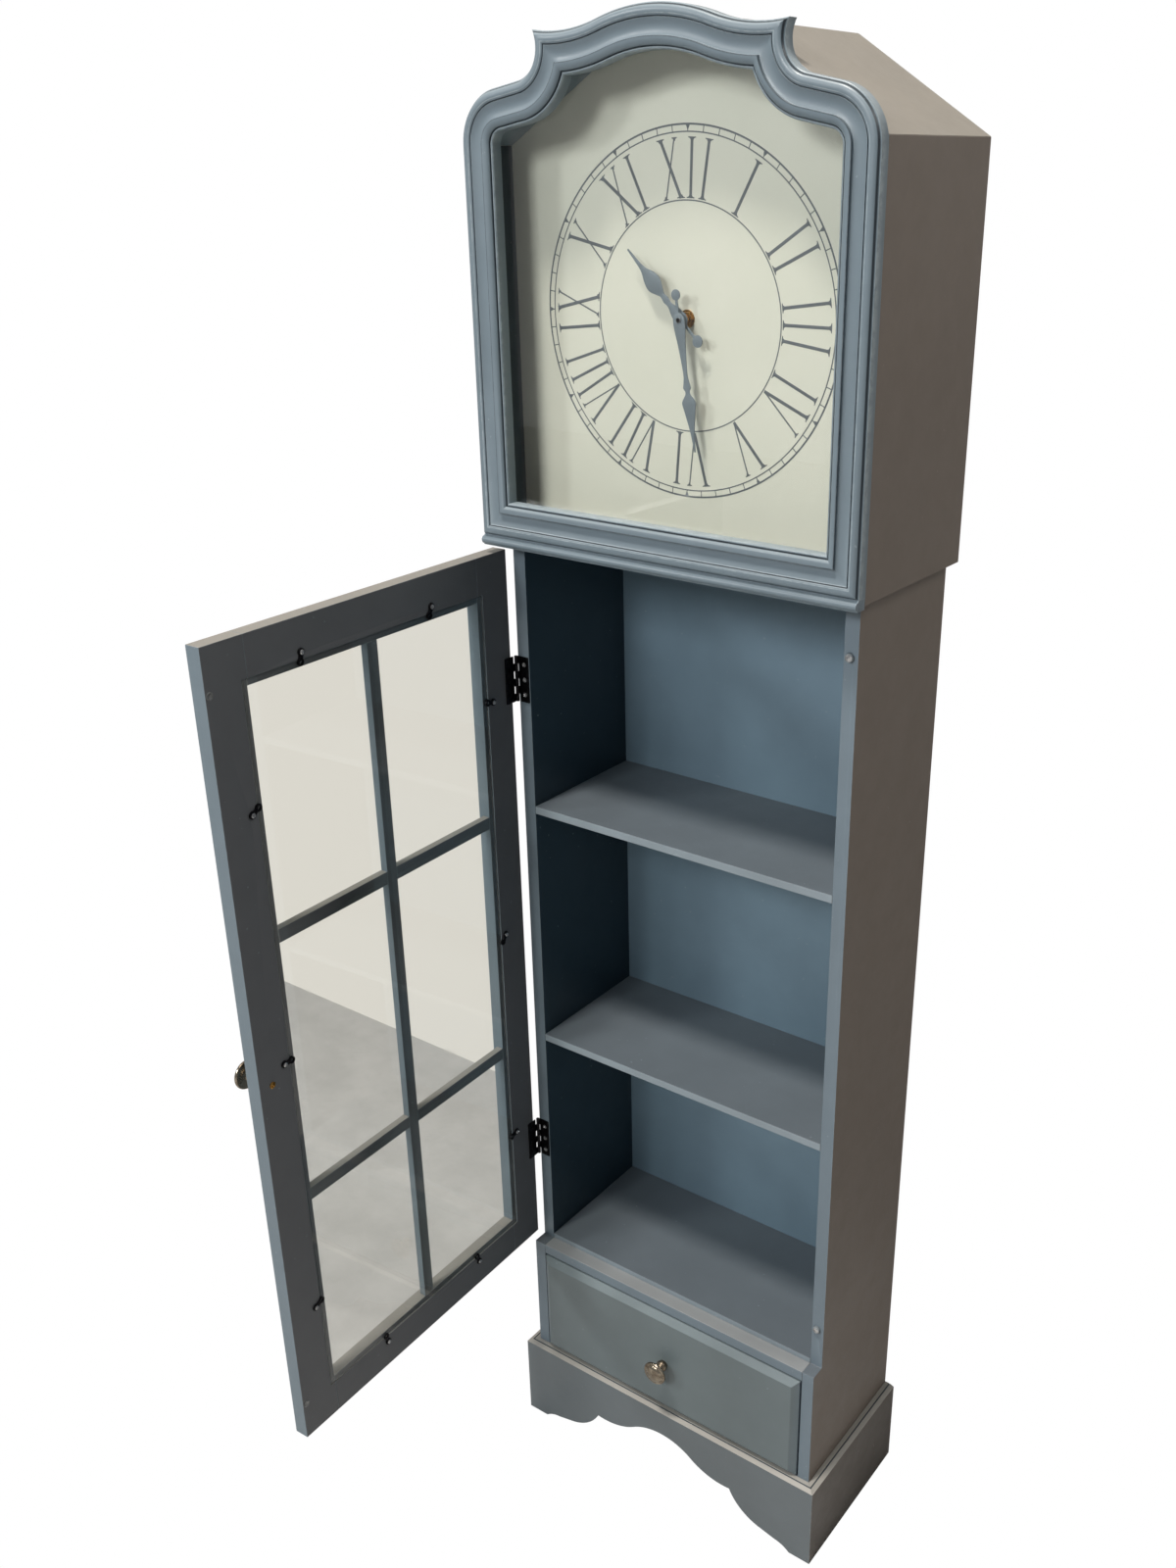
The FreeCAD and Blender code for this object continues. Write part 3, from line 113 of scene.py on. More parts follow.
# Outer sides: painted warm light, with a lighter edge tone on them. The roof: painted light from above.
TAUPE = paint_chip(116, 107, 99)
TAUPE_EDGE = paint_chip(150, 144, 136)
TAUPE_ROOF = paint_chip(146, 141, 132)
# The door's top edge: painted light from above.
DOOR_TOP = paint_chip(142, 139, 133)
# The plinth's sides: painted warm shade. Its top: painted light from above.
PLINTH_SIDE = paint_chip(88, 83, 78)
PLINTH_TOP = paint_chip(162, 160, 154)
# The door's rear face: painted shade.
DOOR_REAR = paint_chip(92, 95, 99)
# The drawer's and the plinth's fronts: painted shade. The drawer's top is the slate itself.
DRAWER_FACE = paint_chip(103, 114, 117)
DRAWER_TOP = paint_chip(112, 124, 128)
PLINTH_FACE = paint_chip(102, 110, 114)
print("slate in linear values:", [round(v, 3) for v in SLATE[:3]])

# %% [markdown]
# ## Building materials with short calls
# A node material is a small graph. These helpers add one node with its settings and its
# inputs in a single line, so that each material below reads like a recipe. A group is
# built once and used by several materials, each with values of its own.


# %% Node helpers
def set_input(tree, made, socket, value):
    """Link an input to a socket, or write a plain value into it."""
    if isinstance(value, bpy.types.NodeSocket):
        tree.links.new(value, made.inputs[socket])
    else:
        made.inputs[socket].default_value = value


def add_node(tree, kind, inputs=None, **settings):
    """One shader node with its settings and its inputs."""
    made = tree.nodes.new("ShaderNode" + kind)
    for name, value in settings.items():
        setattr(made, name, value)
    for socket, value in (inputs or {}).items():
        set_input(tree, made, socket, value)
    return made


def math_of(tree, operation, *values):
    """The result of a Math node on one, two or three values."""
    return add_node(tree, "Math", dict(enumerate(values)), operation=operation).outputs[0]


def remap(tree, value, low, high, to_low=0.0, to_high=1.0):
    """A value stretched smoothly from one range to another, and held inside it."""
    inputs = {"Value": value, "From Min": low, "From Max": high, "To Min": to_low, "To Max": to_high}
    return add_node(tree, "MapRange", inputs, interpolation_type="SMOOTHSTEP").outputs[0]


def mix_colour(tree, factor, first, second):
    """Two colours mixed by a factor."""
    return add_node(tree, "Mix", {0: factor, 6: first, 7: second}, data_type="RGBA").outputs[2]


def noise(tree, place, scale, detail=3.0, roughness=0.5):
    """Fractal noise at a number of waves per metre."""
    inputs = {"Vector": place, "Scale": scale, "Detail": detail, "Roughness": roughness}
    return add_node(tree, "TexNoise", inputs).outputs[0]


def stretched(tree, place, along_x, along_y, along_z):
    """Places scaled by axis: a pattern is drawn out along the axis with the least scale."""
    return add_node(tree, "Mapping", {0: place, 3: (along_x, along_y, along_z)}).outputs[0]


def toned(tree, colour, value):
    """A colour made lighter or darker by a factor."""
    return add_node(tree, "HueSaturation", {"Color": colour, "Value": value}).outputs[0]


def object_place(tree):
    """Where a point lies in the object's own space, which is the cabinet's frame."""
    return add_node(tree, "TexCoord").outputs["Object"]


def parts_of(tree, vector):
    """The X, Y and Z of a vector."""
    return add_node(tree, "SeparateXYZ", {0: vector}).outputs


def object_normal(tree):
    """The X, Y and Z of the object's own normal."""
    return parts_of(tree, add_node(tree, "TexCoord").outputs["Normal"])


def new_group(name, inputs, outputs):
    """A node group with named sockets: its tree, what it is given and what it returns."""
    tree = bpy.data.node_groups.new(name, "ShaderNodeTree")
    for title, kind, value in inputs:
        socket = tree.interface.new_socket(title, in_out="INPUT", socket_type="NodeSocket" + kind)
        socket.default_value = value
    for title, kind in outputs:
        tree.interface.new_socket(title, in_out="OUTPUT", socket_type="NodeSocket" + kind)
    return tree, tree.nodes.new("NodeGroupInput").outputs, tree.nodes.new("NodeGroupOutput")


def use_group(tree, group, **inputs):
    """The outputs of a group placed in a material; spaces in socket names are underscores."""
    made = tree.nodes.new("ShaderNodeGroup")
    made.node_tree = group
    for name, value in inputs.items():
        set_input(tree, made, name.replace("_", " "), value)
    return made.outputs


def new_material(name):
    """A material, its tree and its Principled shader."""
    material = bpy.data.materials.new(name)
    material.use_nodes = True
    return material, material.node_tree, material.node_tree.nodes["Principled BSDF"]


def finish_material(tree, shader, colour, roughness, height=None, depth=0.0):
    """Give the shader its colour, its roughness and a bump of a given depth."""
    set_input(tree, shader, "Base Color", colour)
    set_input(tree, shader, "Roughness", roughness)
    if height is not None:
        bump = add_node(tree, "Bump", {"Height": height, "Distance": depth, "Strength": 1.0})
        set_input(tree, shader, "Normal", bump.outputs[0])


# %% [markdown]
# ## The paint's skin
# The cabinet is board, painted with a satin slate paint. Close up it shows a fine orange
# peel, a slow drift of tone over each board, and lighter lines along its edges, partly where
# an edge is scuffed by rubbing and partly a painted highlight where an edge catches light.
# The edge mask compares the true normal with the one that a Bevel node rounds over: they
# differ only within a millimetre or two of an edge.

# %% Paint skin
tree, given, result = new_group(
    "paint_skin",
    [("Paint", "Color", SLATE), ("Rubbed", "Color", SLATE_EDGE), ("Wear", "Float", 0.5),
     ("Edge width", "Float", 1.2 * MM), ("Satin", "Float", 0.42)],
    [("Color", "Color"), ("Roughness", "Float"), ("Height", "Float")],
)
place = object_place(tree)
drift = remap(tree, noise(tree, place, 3.5, 4.0, 0.55), 0.3, 0.7, 0.96, 1.04)
cloud = remap(tree, noise(tree, place, 38.0, 3.0), 0.3, 0.7, 0.98, 1.02)
fresh = toned(tree, given["Paint"], math_of(tree, "MULTIPLY", drift, cloud))
# Lighter edge lines: partly scuffed paint, partly a painted highlight where an edge catches light.
rounded = add_node(tree, "Bevel", {"Radius": given["Edge width"]}, samples=6).outputs[0]
true_normal = add_node(tree, "NewGeometry").outputs["Normal"]
agree = add_node(tree, "VectorMath", {0: rounded, 1: true_normal}, operation="DOT_PRODUCT")
edge = remap(tree, math_of(tree, "SUBTRACT", 1.0, agree.outputs["Value"]), 0.02, 0.16)
rub = remap(tree, noise(tree, place, 90.0, 5.0, 0.65), 0.36, 0.62, 0.25, 1.0)
worn = math_of(tree, "MULTIPLY", math_of(tree, "MULTIPLY", edge, rub), given["Wear"])
chips = remap(tree, noise(tree, place, 210.0, 2.0), 0.745, 0.765, 0.0, 0.35)
marks = math_of(tree, "MAXIMUM", worn, chips)
set_input(tree, result, "Color", mix_colour(tree, marks, fresh, given["Rubbed"]))
gloss = remap(tree, noise(tree, place, 14.0, 5.0, 0.7), 0.3, 0.7, -0.06, 0.07)
set_input(tree, result, "Roughness", math_of(tree, "ADD", given["Satin"], gloss))
peel = math_of(tree, "MULTIPLY", noise(tree, place, 620.0, 2.0), 0.3)
set_input(tree, result, "Height", math_of(tree, "ADD", peel, cloud))
paint_skin = tree
print("paint group sockets:", len(paint_skin.interface.items_tree))

# %% [markdown]
# ## Which way a painted face looks
# The cabinet is one slate paint, but the room's light makes its outer sides look warm
# taupe, its tops paler and the inner sides of the cupboard darkest. This group paints that
# light and shade into the colour: warm painted light on outer sides, painted light or shade
# on tops, and painted shade on inner sides. The object's own normal says which way a face
# looks, and the sign of x times the normal's x is positive only on an outer side.

# %% Paint by facing
tree, given, result = new_group(
    "paint_by_facing",
    [("Front", "Color", SLATE), ("Outer side", "Color", TAUPE), ("Inner side", "Color", SLATE),
     ("Top", "Color", SHELF_TOP)],
    [("Color", "Color")],
)
normal = object_normal(tree)
place = parts_of(tree, object_place(tree))
outward = math_of(tree, "MULTIPLY", math_of(tree, "SIGN", place[0]), normal[0])
# Outer sides: warm painted light. Inner sides: painted shade. Tops: painted light or shade.
colour = mix_colour(tree, remap(tree, outward, 0.45, 0.8), given["Front"], given["Outer side"])
colour = mix_colour(tree, remap(tree, outward, -0.45, -0.8), colour, given["Inner side"])
colour = mix_colour(tree, remap(tree, normal[2], 0.3, 0.62), colour, given["Top"])
set_input(tree, result, "Color", colour)
paint_by_facing = tree


# %% Painted materials
PEEL_DEPTH = 0.03 * MM
PAINT_SHINE = 0.42


def paint_over(tree, shader, colour, rubbed=SLATE_EDGE, wear=0.5, satin=0.42):
    """Cover a shader with a colour, the paint's own skin, and lighter edges that are partly scuffed paint
    and partly painted highlight.
    """
    skin = use_group(tree, paint_skin, Paint=colour, Rubbed=rubbed, Wear=wear, Satin=satin)
    finish_material(tree, shader, skin["Color"], skin["Roughness"], skin["Height"], PEEL_DEPTH)
    shader.inputs["Specular IOR Level"].default_value = PAINT_SHINE


def painted(name, front=SLATE, side=TAUPE, inner=SLATE, top=SHELF_TOP, **skin):
    """A paint finish whose colour follows the way each face looks: painted light and shade by facing."""
    material, tree, shader = new_material(name)
    sides = {"Front": front, "Outer_side": side, "Inner_side": inner, "Top": top}
    paint_over(tree, shader, use_group(tree, paint_by_facing, **sides)["Color"], **skin)
    return material


# These finishes paint light and shade into the one slate by facing: warm painted light on outer sides,
# painted light on the ledge, roof and plinth tops and on the shelves' front edges, and painted shade on
# inner sides, shelf tops and the lower fronts. The back panel gets a lit copy of the slate and the hood's
# battens a shaded one.
cabinet_paint = painted("cabinet_paint", inner=CUPBOARD_SIDE, wear=0.7)
ledge_paint = painted("ledge_paint", top=LEDGE_TOP, wear=0.7)
hood_paint = painted("hood_paint", inner=HOOD_WELL, top=TAUPE_ROOF, rubbed=TAUPE_EDGE)
strip_paint = painted("strip_paint", SLATE_LIGHT, SLATE, SLATE, SLATE_LIGHT, wear=0.75, satin=0.34)
plinth_paint = painted(
    "plinth_paint", PLINTH_FACE, PLINTH_SIDE, top=PLINTH_TOP, rubbed=PLINTH_TOP, wear=0.6
)
back_paint = painted("back_paint", *[CUPBOARD_BACK] * 4, wear=0.1)
well_paint = painted("well_paint", *[HOOD_WELL] * 4, rubbed=SLATE, wear=0.1)
shelf_paint = painted("shelf_paint", front=SHELF_EDGE, wear=0.4, satin=0.36)
drawer_paint = painted("drawer_paint", DRAWER_FACE, SLATE, SLATE, DRAWER_TOP, wear=0.65)

# %% [markdown]
# ## The plinth's scribed line
# A fine groove runs round the top of the plinth, just inside its chamfer. It is less than
# a millimetre wide, too narrow for its own shade to show, so that shade is painted in: a
# dark line that follows the groove, fading over half a millimetre to each side.

# %% Plinth line
GROOVE_SIDE = 206.0 * MM
GROOVE_FRONT = 193.5 * MM
GROOVE_FOOT = 110.5 * MM
tree = plinth_paint.node_tree
shader = tree.nodes["Principled BSDF"]
place = parts_of(tree, object_place(tree))
past_side = math_of(tree, "SUBTRACT", math_of(tree, "ABSOLUTE", place[0]), GROOVE_SIDE)
past_front = math_of(tree, "SUBTRACT", math_of(tree, "MULTIPLY", place[1], -1.0), GROOVE_FRONT)
off_line = math_of(tree, "ABSOLUTE", math_of(tree, "MAXIMUM", past_side, past_front))
# The groove's dark line is painted shade.
line = remap(tree, off_line, 0.6 * MM, 1.1 * MM, 0.85, 0.0)
line = math_of(tree, "MULTIPLY", line, remap(tree, place[2], GROOVE_FOOT, GROOVE_FOOT + MM))
painted_colour = shader.inputs["Base Color"].links[0].from_socket
set_input(tree, shader, "Base Color", mix_colour(tree, line, painted_colour, CUPBOARD_SIDE))
print("plinth paint nodes:", len(tree.nodes))

# %% [markdown]
# ## The moulding's paint
# A painted moulding shows its lines by use and by light: the ridges get a lighter tone,
# partly from rubbing and partly a painted highlight, the grooves get a painted shade, and
# faces that look up get a paler painted light from above. The sweep below writes an attribute
# named relief on its points, 1 on a ridge and below 0 in a groove, and this finish reads it.

# %% Moulding material
moulding_paint, tree, shader = new_material("moulding_paint")
relief = add_node(tree, "Attribute", attribute_name="relief").outputs["Fac"]
broken = remap(tree, noise(tree, object_place(tree), 120.0, 4.0, 0.6), 0.35, 0.65, 0.35, 1.0)
# Ridges: partly scuffed paint, partly painted highlight. Grooves: painted shade. Faces that look up:
# painted light from above.
ridge = math_of(tree, "MULTIPLY", remap(tree, relief, 0.1, 0.9, 0.0, 0.75), broken)
groove = remap(tree, relief, -0.08, -0.8, 0.0, 0.92)
facing_up = remap(tree, object_normal(tree)[2], 0.1, 0.7, 0.0, 0.5)
dusty = mix_colour(tree, facing_up, SLATE_LIGHT, SLATE_EDGE)
colour = mix_colour(tree, groove, mix_colour(tree, ridge, dusty, SLATE_EDGE), HOOD_WELL)
paint_over(tree, shader, colour, satin=0.34)

# %% [markdown]
# ## The door's two faces
# The door's rear face is painted darker and more neutral than its front and its edges:
# painted shade. As the cabinet stands here the door is open, so its rear face looks along
# +X, and its own normal picks it out. The top edge is painted as pale as the cabinet's
# other tops: painted light from above.

# %% Door material
door_paint, tree, shader = new_material("door_paint")
normal = object_normal(tree)
# The rear face: painted shade. The top edge: painted light from above.
colour = mix_colour(tree, remap(tree, normal[0], 0.6, 0.9), SLATE_LIGHT, DOOR_REAR)
colour = mix_colour(tree, remap(tree, normal[2], 0.6, 0.9), colour, DOOR_TOP)
paint_over(tree, shader, colour, wear=0.85, satin=0.4)
print("painted materials:", [m.name for m in bpy.data.materials if m.name.endswith("_paint")])


# %% [markdown]
# ## Bare board, metals, plastics and ink
# Hidden pieces are plain fibreboard. The small metal parts share one recipe: a base
# colour, clouds of an aged tone that are also duller, and a fine grain.


# %% Board, metal and plastic recipes
def bare_board(name, colour, flecked):
    """Plain fibreboard: short fibres as stretched noise in two shades."""
    material, tree, shader = new_material(name)
    fibres = noise(tree, stretched(tree, object_place(tree), 1.0, 0.25, 0.6), 700.0, 4.0, 0.7)
    mixed = mix_colour(tree, remap(tree, fibres, 0.35, 0.7), colour, flecked)
    finish_material(tree, shader, mixed, 0.82, fibres, 0.05 * MM)
    return material


def metal(name, colour, aged, roughness, scale=300.0):
    """Plated or blackened metal: aged clouds darken it and dull it."""
    material, tree, shader = new_material(name)
    place = object_place(tree)
    clouds = remap(tree, noise(tree, place, scale, 5.0, 0.65), 0.38, 0.68)
    dull = remap(tree, clouds, 0.0, 1.0, roughness, roughness + 0.22)
    grain = noise(tree, place, scale * 12, 2.0)
    finish_material(tree, shader, mix_colour(tree, clouds, colour, aged), dull, grain, 0.004 * MM)
    shader.inputs["Metallic"].default_value = 1.0
    return material


def moulded(name, colour, roughness):
    """Moulded plastic or a flat coat of paint, with a fine grain."""
    material, tree, shader = new_material(name)
    place = object_place(tree)
    grain = noise(tree, place, 1500.0, 2.0)
    tint = remap(tree, noise(tree, place, 60.0), 0.3, 0.7, 0.94, 1.06)
    dull = remap(tree, grain, 0.3, 0.7, roughness, roughness + 0.12)
    finish_material(tree, shader, toned(tree, colour, tint), dull, grain, 0.02 * MM)
    return material


plain_board = bare_board("plain_board", paint_chip(176, 150, 116), paint_chip(140, 112, 80))
old_nickel = metal("old_nickel", paint_chip(166, 156, 140), paint_chip(104, 92, 78), 0.16, 70.0)
bright_zinc = metal("bright_zinc", paint_chip(212, 213, 214), paint_chip(140, 142, 146), 0.24)
black_oxide = metal("black_oxide", paint_chip(40, 40, 43), paint_chip(16, 16, 18), 0.34)
turned_brass = metal("turned_brass", paint_chip(196, 154, 84), paint_chip(120, 84, 40), 0.22)
pressed_steel = metal("pressed_steel", paint_chip(150, 152, 152), paint_chip(104, 106, 108), 0.38)
black_plastic = moulded("black_plastic", paint_chip(30, 31, 33), 0.45)
catch_shell = moulded("catch_shell", paint_chip(126, 134, 138), 0.4)
hand_paint = moulded("hand_paint", paint_chip(100, 110, 120), 0.38)
dial_ink = moulded("dial_ink", paint_chip(82, 87, 94), 0.6)

# %% [markdown]
# ## Battery
# The cell has a plain wrap with a copper-coloured band at its positive end. The band is
# picked out by the cell's own length, which runs along X.

# %% Battery material
cell_wrap, tree, shader = new_material("cell_wrap")
cell_low, cell_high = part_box("battery")
band_start = cell_low.x + (cell_high.x - cell_low.x) * 0.72
band = remap(tree, parts_of(tree, object_place(tree))[0], band_start, band_start + 0.2 * MM)
scuffs = remap(tree, noise(tree, object_place(tree), 240.0, 4.0), 0.4, 0.7, 0.28, 0.45)
wrap_colour = mix_colour(tree, band, paint_chip(38, 40, 44), paint_chip(178, 122, 74))
finish_material(tree, shader, wrap_colour, scuffs)

# %% [markdown]
# ## Dial card
# The dial is a cream printed card on a board. Its colour drifts a little and its face has
# a faint tooth, which keeps a big flat area from looking like plastic.

# %% Dial material
dial_card, tree, shader = new_material("dial_card")
place = object_place(tree)
tooth = noise(tree, place, 1400.0, 3.0)
age = remap(tree, noise(tree, place, 4.0, 4.0, 0.6), 0.3, 0.7)
card_colour = mix_colour(tree, age, paint_chip(216, 214, 205), paint_chip(209, 208, 198))
finish_material(tree, shader, card_colour, 0.5, tooth, 0.015 * MM)

# %% [markdown]
# ## Glass
# Clear glass bends light, and a lamp that is seen through bent light is hard for the
# renderer to find, so that what stands behind the glass would be too dark or too bright.
# Real thin glass lets lamp light straight through, so a Light Path node swaps in a
# Transparent shader for shadow rays and for light that comes off a matt surface. The eye
# still sees true glass. Faint smears change its roughness.


# %% Glass material
def mix_shader(tree, factor, first, second):
    """Two shader nodes mixed by a factor."""
    return add_node(tree, "MixShader", {0: factor, 1: first.outputs[0], 2: second.outputs[0]})


def set_surface(tree, shader):
    """Let a shader node be the material's surface."""
    set_input(tree, tree.nodes["Material Output"], "Surface", shader.outputs[0])


def clear_glass(name, tint, smear):
    """Thin clear glass with a slight tint and faint smears."""
    material, tree, shader = new_material(name)
    smears = noise(tree, stretched(tree, object_place(tree), 1.0, 1.0, 0.3), 22.0, 5.0, 0.6)
    finish_material(tree, shader, tint, remap(tree, smears, 0.45, 0.8, 0.0, smear))
    shader.inputs["IOR"].default_value = 1.5
    shader.inputs["Transmission Weight"].default_value = 1.0
    through = add_node(tree, "BsdfTransparent", {0: tint})
    rays = add_node(tree, "LightPath").outputs
    plain = math_of(tree, "MAXIMUM", rays["Is Shadow Ray"], rays["Is Diffuse Ray"])
    set_surface(tree, mix_shader(tree, plain, shader, through))
    return material


hood_pane = clear_glass("hood_pane", paint_chip(250, 252, 250), 0.03)
door_pane = clear_glass("door_pane", paint_chip(244, 247, 245), 0.06)


# %% [markdown]
# ## Turning point arrays into pieces
# A shape here is a grid of points: rows along one direction and columns along the other.
# The faces follow from the grid's size alone. Points that meet, as at a pole, are merged,
# and the normals of a closed shape are then made to look outwards.


# %% Mesh helpers
def pairs(first, second):
    """Two arrays as one array of places in a plane."""
    return np.stack([first, second], axis=-1)


def round_places(angle):
    """(cos a, sin a) for each angle."""
    return pairs(np.cos(angle), np.sin(angle))


def full_turn(steps):
    """Angles of a full turn, without its end."""
    return np.linspace(0, 2 * math.pi, steps, endpoint=False)


def axis_of(vector):
    """A direction as an array of plain numbers."""
    return np.asarray(vector, float)


def add_object(name, data):
    """A new object in the scene."""
    made = bpy.data.objects.new(name, data)
    bpy.context.scene.collection.objects.link(made)
    return made


def merged(mesh):
    """A mesh opened for editing, in which the points that meet are one."""
    work = bmesh.new()
    work.from_mesh(mesh)
    bmesh.ops.remove_doubles(work, verts=work.verts, dist=1e-6)
    return work


def grid_faces(rows, columns, wrap_rows=False, wrap_columns=False):
    """Quads of a grid in which point (i, j) has the number i * columns + j."""
    i = np.arange(rows if wrap_rows else rows - 1)[:, None]
    j = np.arange(columns if wrap_columns else columns - 1)[None, :]
    following_i = (i + 1) % rows
    following_j = (j + 1) % columns
    near = (i * columns + j, i * columns + following_j)
    far = (following_i * columns + following_j, following_i * columns + j)
    return np.stack(np.broadcast_arrays(*near, *far), axis=-1).reshape(-1, 4)


def settle(name, mesh, material, body, slot, *nodes, sharp=32.0):
    """Give a mesh its shading, its material and the body that it moves with."""
    mesh.shade_smooth()
    mesh.set_sharp_from_angle(angle=math.radians(sharp))
    mesh.materials.clear()
    mesh.materials.append(material)
    piece = add_object(name, mesh)
    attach(piece, body)
    if nodes:
        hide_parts(*nodes)
    return piece


def make_piece(name, shells, material, body, slot, *nodes, sharp=32.0):
    """A piece from (points, faces) shells: merged, turned outwards and shaded."""
    points = []
    faces = []
    for shell_points, shell_faces in shells:
        start = sum(len(p) for p in points)
        points.append(np.asarray(shell_points, float).reshape(-1, 3))
        faces += [tuple(int(v) + start for v in face) for face in shell_faces]
    mesh = bpy.data.meshes.new(name)
    mesh.from_pydata(np.concatenate(points).tolist(), [], faces)
    work = merged(mesh)
    bmesh.ops.recalc_face_normals(work, faces=work.faces)
    work.to_mesh(mesh)
    work.free()
    return settle(name, mesh, material, body, slot, *nodes, sharp=sharp)


# %% [markdown]
# ## Reading a CAD piece
# Some CAD nodes hold several small solids, such as all the screws of one kind. Walking
# from point to point along edges finds each solid, and its reach along an axis tells
# where its foot stands and how long it is.


# %% CAD helpers
def solids_of(node):
    """World points of each separate solid of a CAD node, lowest first."""
    work = merged(frame["nodes"][node].data)
    left = set(work.verts)
    found = []
    while left:
        front = [left.pop()]
        members = []
        while front:
            vert = front.pop()
            members.append(tuple(vert.co))
            near = {edge.other_vert(vert) for edge in vert.link_edges} & left
            left -= near
            front += near
        found.append(np.array(members))
    work.free()
    return sorted(found, key=lambda points: points.min(axis=0)[::-1].tolist())


def reach_along(points, axis):
    """The least and the greatest reach of points along an axis."""
    reach = points @ axis_of(axis)
    return reach.min(), reach.max()


def foot_of(points, axis):
    """The middle of a turned solid at its least reach along its axis."""
    axis = axis_of(axis)
    low = reach_along(points, axis)[0]
    near = points[points @ axis < low + 1e-5]
    middle = (near.min(axis=0) + near.max(axis=0)) / 2
    return middle + axis * (low - middle @ axis)


# %% [markdown]
# ## Soft edges for the boards
# Real painted boards have edges that were sanded over before painting, and these thin
# bright lines are half of what makes painted furniture look real. The CAD boards have
# dead sharp edges, so a merged copy of each gets a Bevel modifier of about half a
# millimetre and takes the board's place.


# %% Softened boards
EDGE_ROUND = 0.6 * MM


def softened(node, material, body, slot):
    """A copy of a CAD board whose sharp edges are rounded over."""
    work = merged(frame["nodes"][node].data)
    flat = math.radians(0.5)
    bmesh.ops.dissolve_limit(work, angle_limit=flat, verts=work.verts, edges=work.edges)
    mesh = bpy.data.meshes.new(node + "_soft")
    work.to_mesh(mesh)
    work.free()
    piece = settle(node + "_soft", mesh, material, body, slot, node)
    bevel = piece.modifiers.new("sanded_edge", "BEVEL")
    bevel.width = EDGE_ROUND
    bevel.segments = 2
    bevel.limit_method = "ANGLE"
    bevel.angle_limit = math.radians(30)
    bevel.harden_normals = True
    return piece


BOARDS = [
    (cabinet_paint, "cabinet", "slate_paint", "side_panel_left side_panel_right"),
    (ledge_paint, "cabinet", "slate_paint", "ledge_rail"),
    (shelf_paint, "cabinet", "slate_paint", "shelf_upper shelf_lower bottom_board"),
    (plinth_paint, "cabinet", "slate_paint", "plinth_front"),
    (plinth_paint, "cabinet", "taupe_paint", "plinth_side_left plinth_side_right"),
    (hood_paint, "cabinet", "taupe_paint", "hood_side_left hood_side_right"),
    (hood_paint, "cabinet", "taupe_paint", "hood_roof_top hood_roof_slopes"),
    (plain_board, "cabinet", "plain_board", "hood_back"),
    (black_plastic, "cabinet", "black_plastic", "movement_case"),
    (door_paint, "door", "dark_paint", "door_stile_hinge door_stile_latch"),
    (door_paint, "door", "dark_paint", "door_rail_top door_rail_bottom"),
    (door_paint, "door", "dark_paint", "glazing_bar_upright glazing_bars_cross"),
    (drawer_paint, "drawer", "slate_paint", "drawer_front"),
    (plain_board, "drawer", "plain_board", "drawer_box"),
]
boards = [softened(board, *finish) for *finish, names in BOARDS for board in names.split()]
print("softened boards:", len(boards))

# %% [markdown]
# ## Boards that keep their CAD mesh
# A board that nobody touches, such as the back, keeps its mesh and only gets a finish.

# %% Finishes of the other CAD nodes
FINISHES = {
    "back_panel": back_paint,
    "base_board": cabinet_paint,
    "hood_floor": hood_paint,
    # The hood's battens: painted shade all over.
    "hood_battens": well_paint,
    "dial_board": dial_card,
    "hood_glass": hood_pane,
    "door_glass": door_pane,
    "drawer_bottom": plain_board,
    "hinge_pins": black_oxide,
}
for node, finish in FINISHES.items():
    cad_mesh = frame["nodes"][node].data
    cad_mesh.materials.clear()
    cad_mesh.materials.append(finish)
print("CAD nodes with a finish of their own:", len(FINISHES))

# %% [markdown]
# ## Arched frame of the hood
# The frame is one moulding that a router cuts round an arched outline. It could be built
# from loose bars with a Boolean at each corner, but a sweep is truer: every member of the
# moulding runs parallel to the outline, so a point of the section that lies an inset i
# inside the edge follows the same outline with each outward arc's radius less i and each
# hollow arc's radius plus i. Where two arcs meet in an ear, the two circles are crossed
# anew for each inset, which gives the true curved mitre.

# %% Outline of the frame
FRAME_WIDTH = 34 * MM
spring = shoulder_height - 8.0 * MM
dip = roof_height - 2.7 * MM
rise = dip - spring
shoulder_radius = rise * 0.5239
neck_radius = rise * 0.2961
hollow_radius = hood_half * 0.70755
crest_radius = hood_half * 0.87264
crest_rise = hood_half * 0.08113 - 0.15 * MM
shoulder = np.array([hood_half - shoulder_radius, spring])
neck = np.array([hood_half - rise * 1.0023 + neck_radius, dip - rise * 0.12919])
lean = math.acos(1 - crest_rise / (hollow_radius + crest_radius))
hollow = np.array([(hollow_radius + crest_radius) * math.sin(lean), dip + hollow_radius])
crest = np.array([0.0, dip + crest_rise - crest_radius])
gap = neck - shoulder
facing = math.atan2(gap[1], gap[0]) - math.acos((shoulder_radius + neck_radius) / np.hypot(*gap))


def arc_points(centre, radius, start, end, steps):
    """centre + radius * (cos a, sin a), with a running from start to end, for each radius."""
    share = np.linspace(0, 1, steps, endpoint=False)
    start = np.broadcast_to(start, radius.shape)[:, None]
    end = np.broadcast_to(end, radius.shape)[:, None]
    return centre + radius[:, None, None] * round_places(start + (end - start) * share)


def line_points(start, end, steps):
    """start + (end - start) * share, for arrays of starts and ends."""
    share = np.linspace(0, 1, steps, endpoint=False)[None, :, None]
    return start[:, None, :] + (end - start)[:, None, :] * share


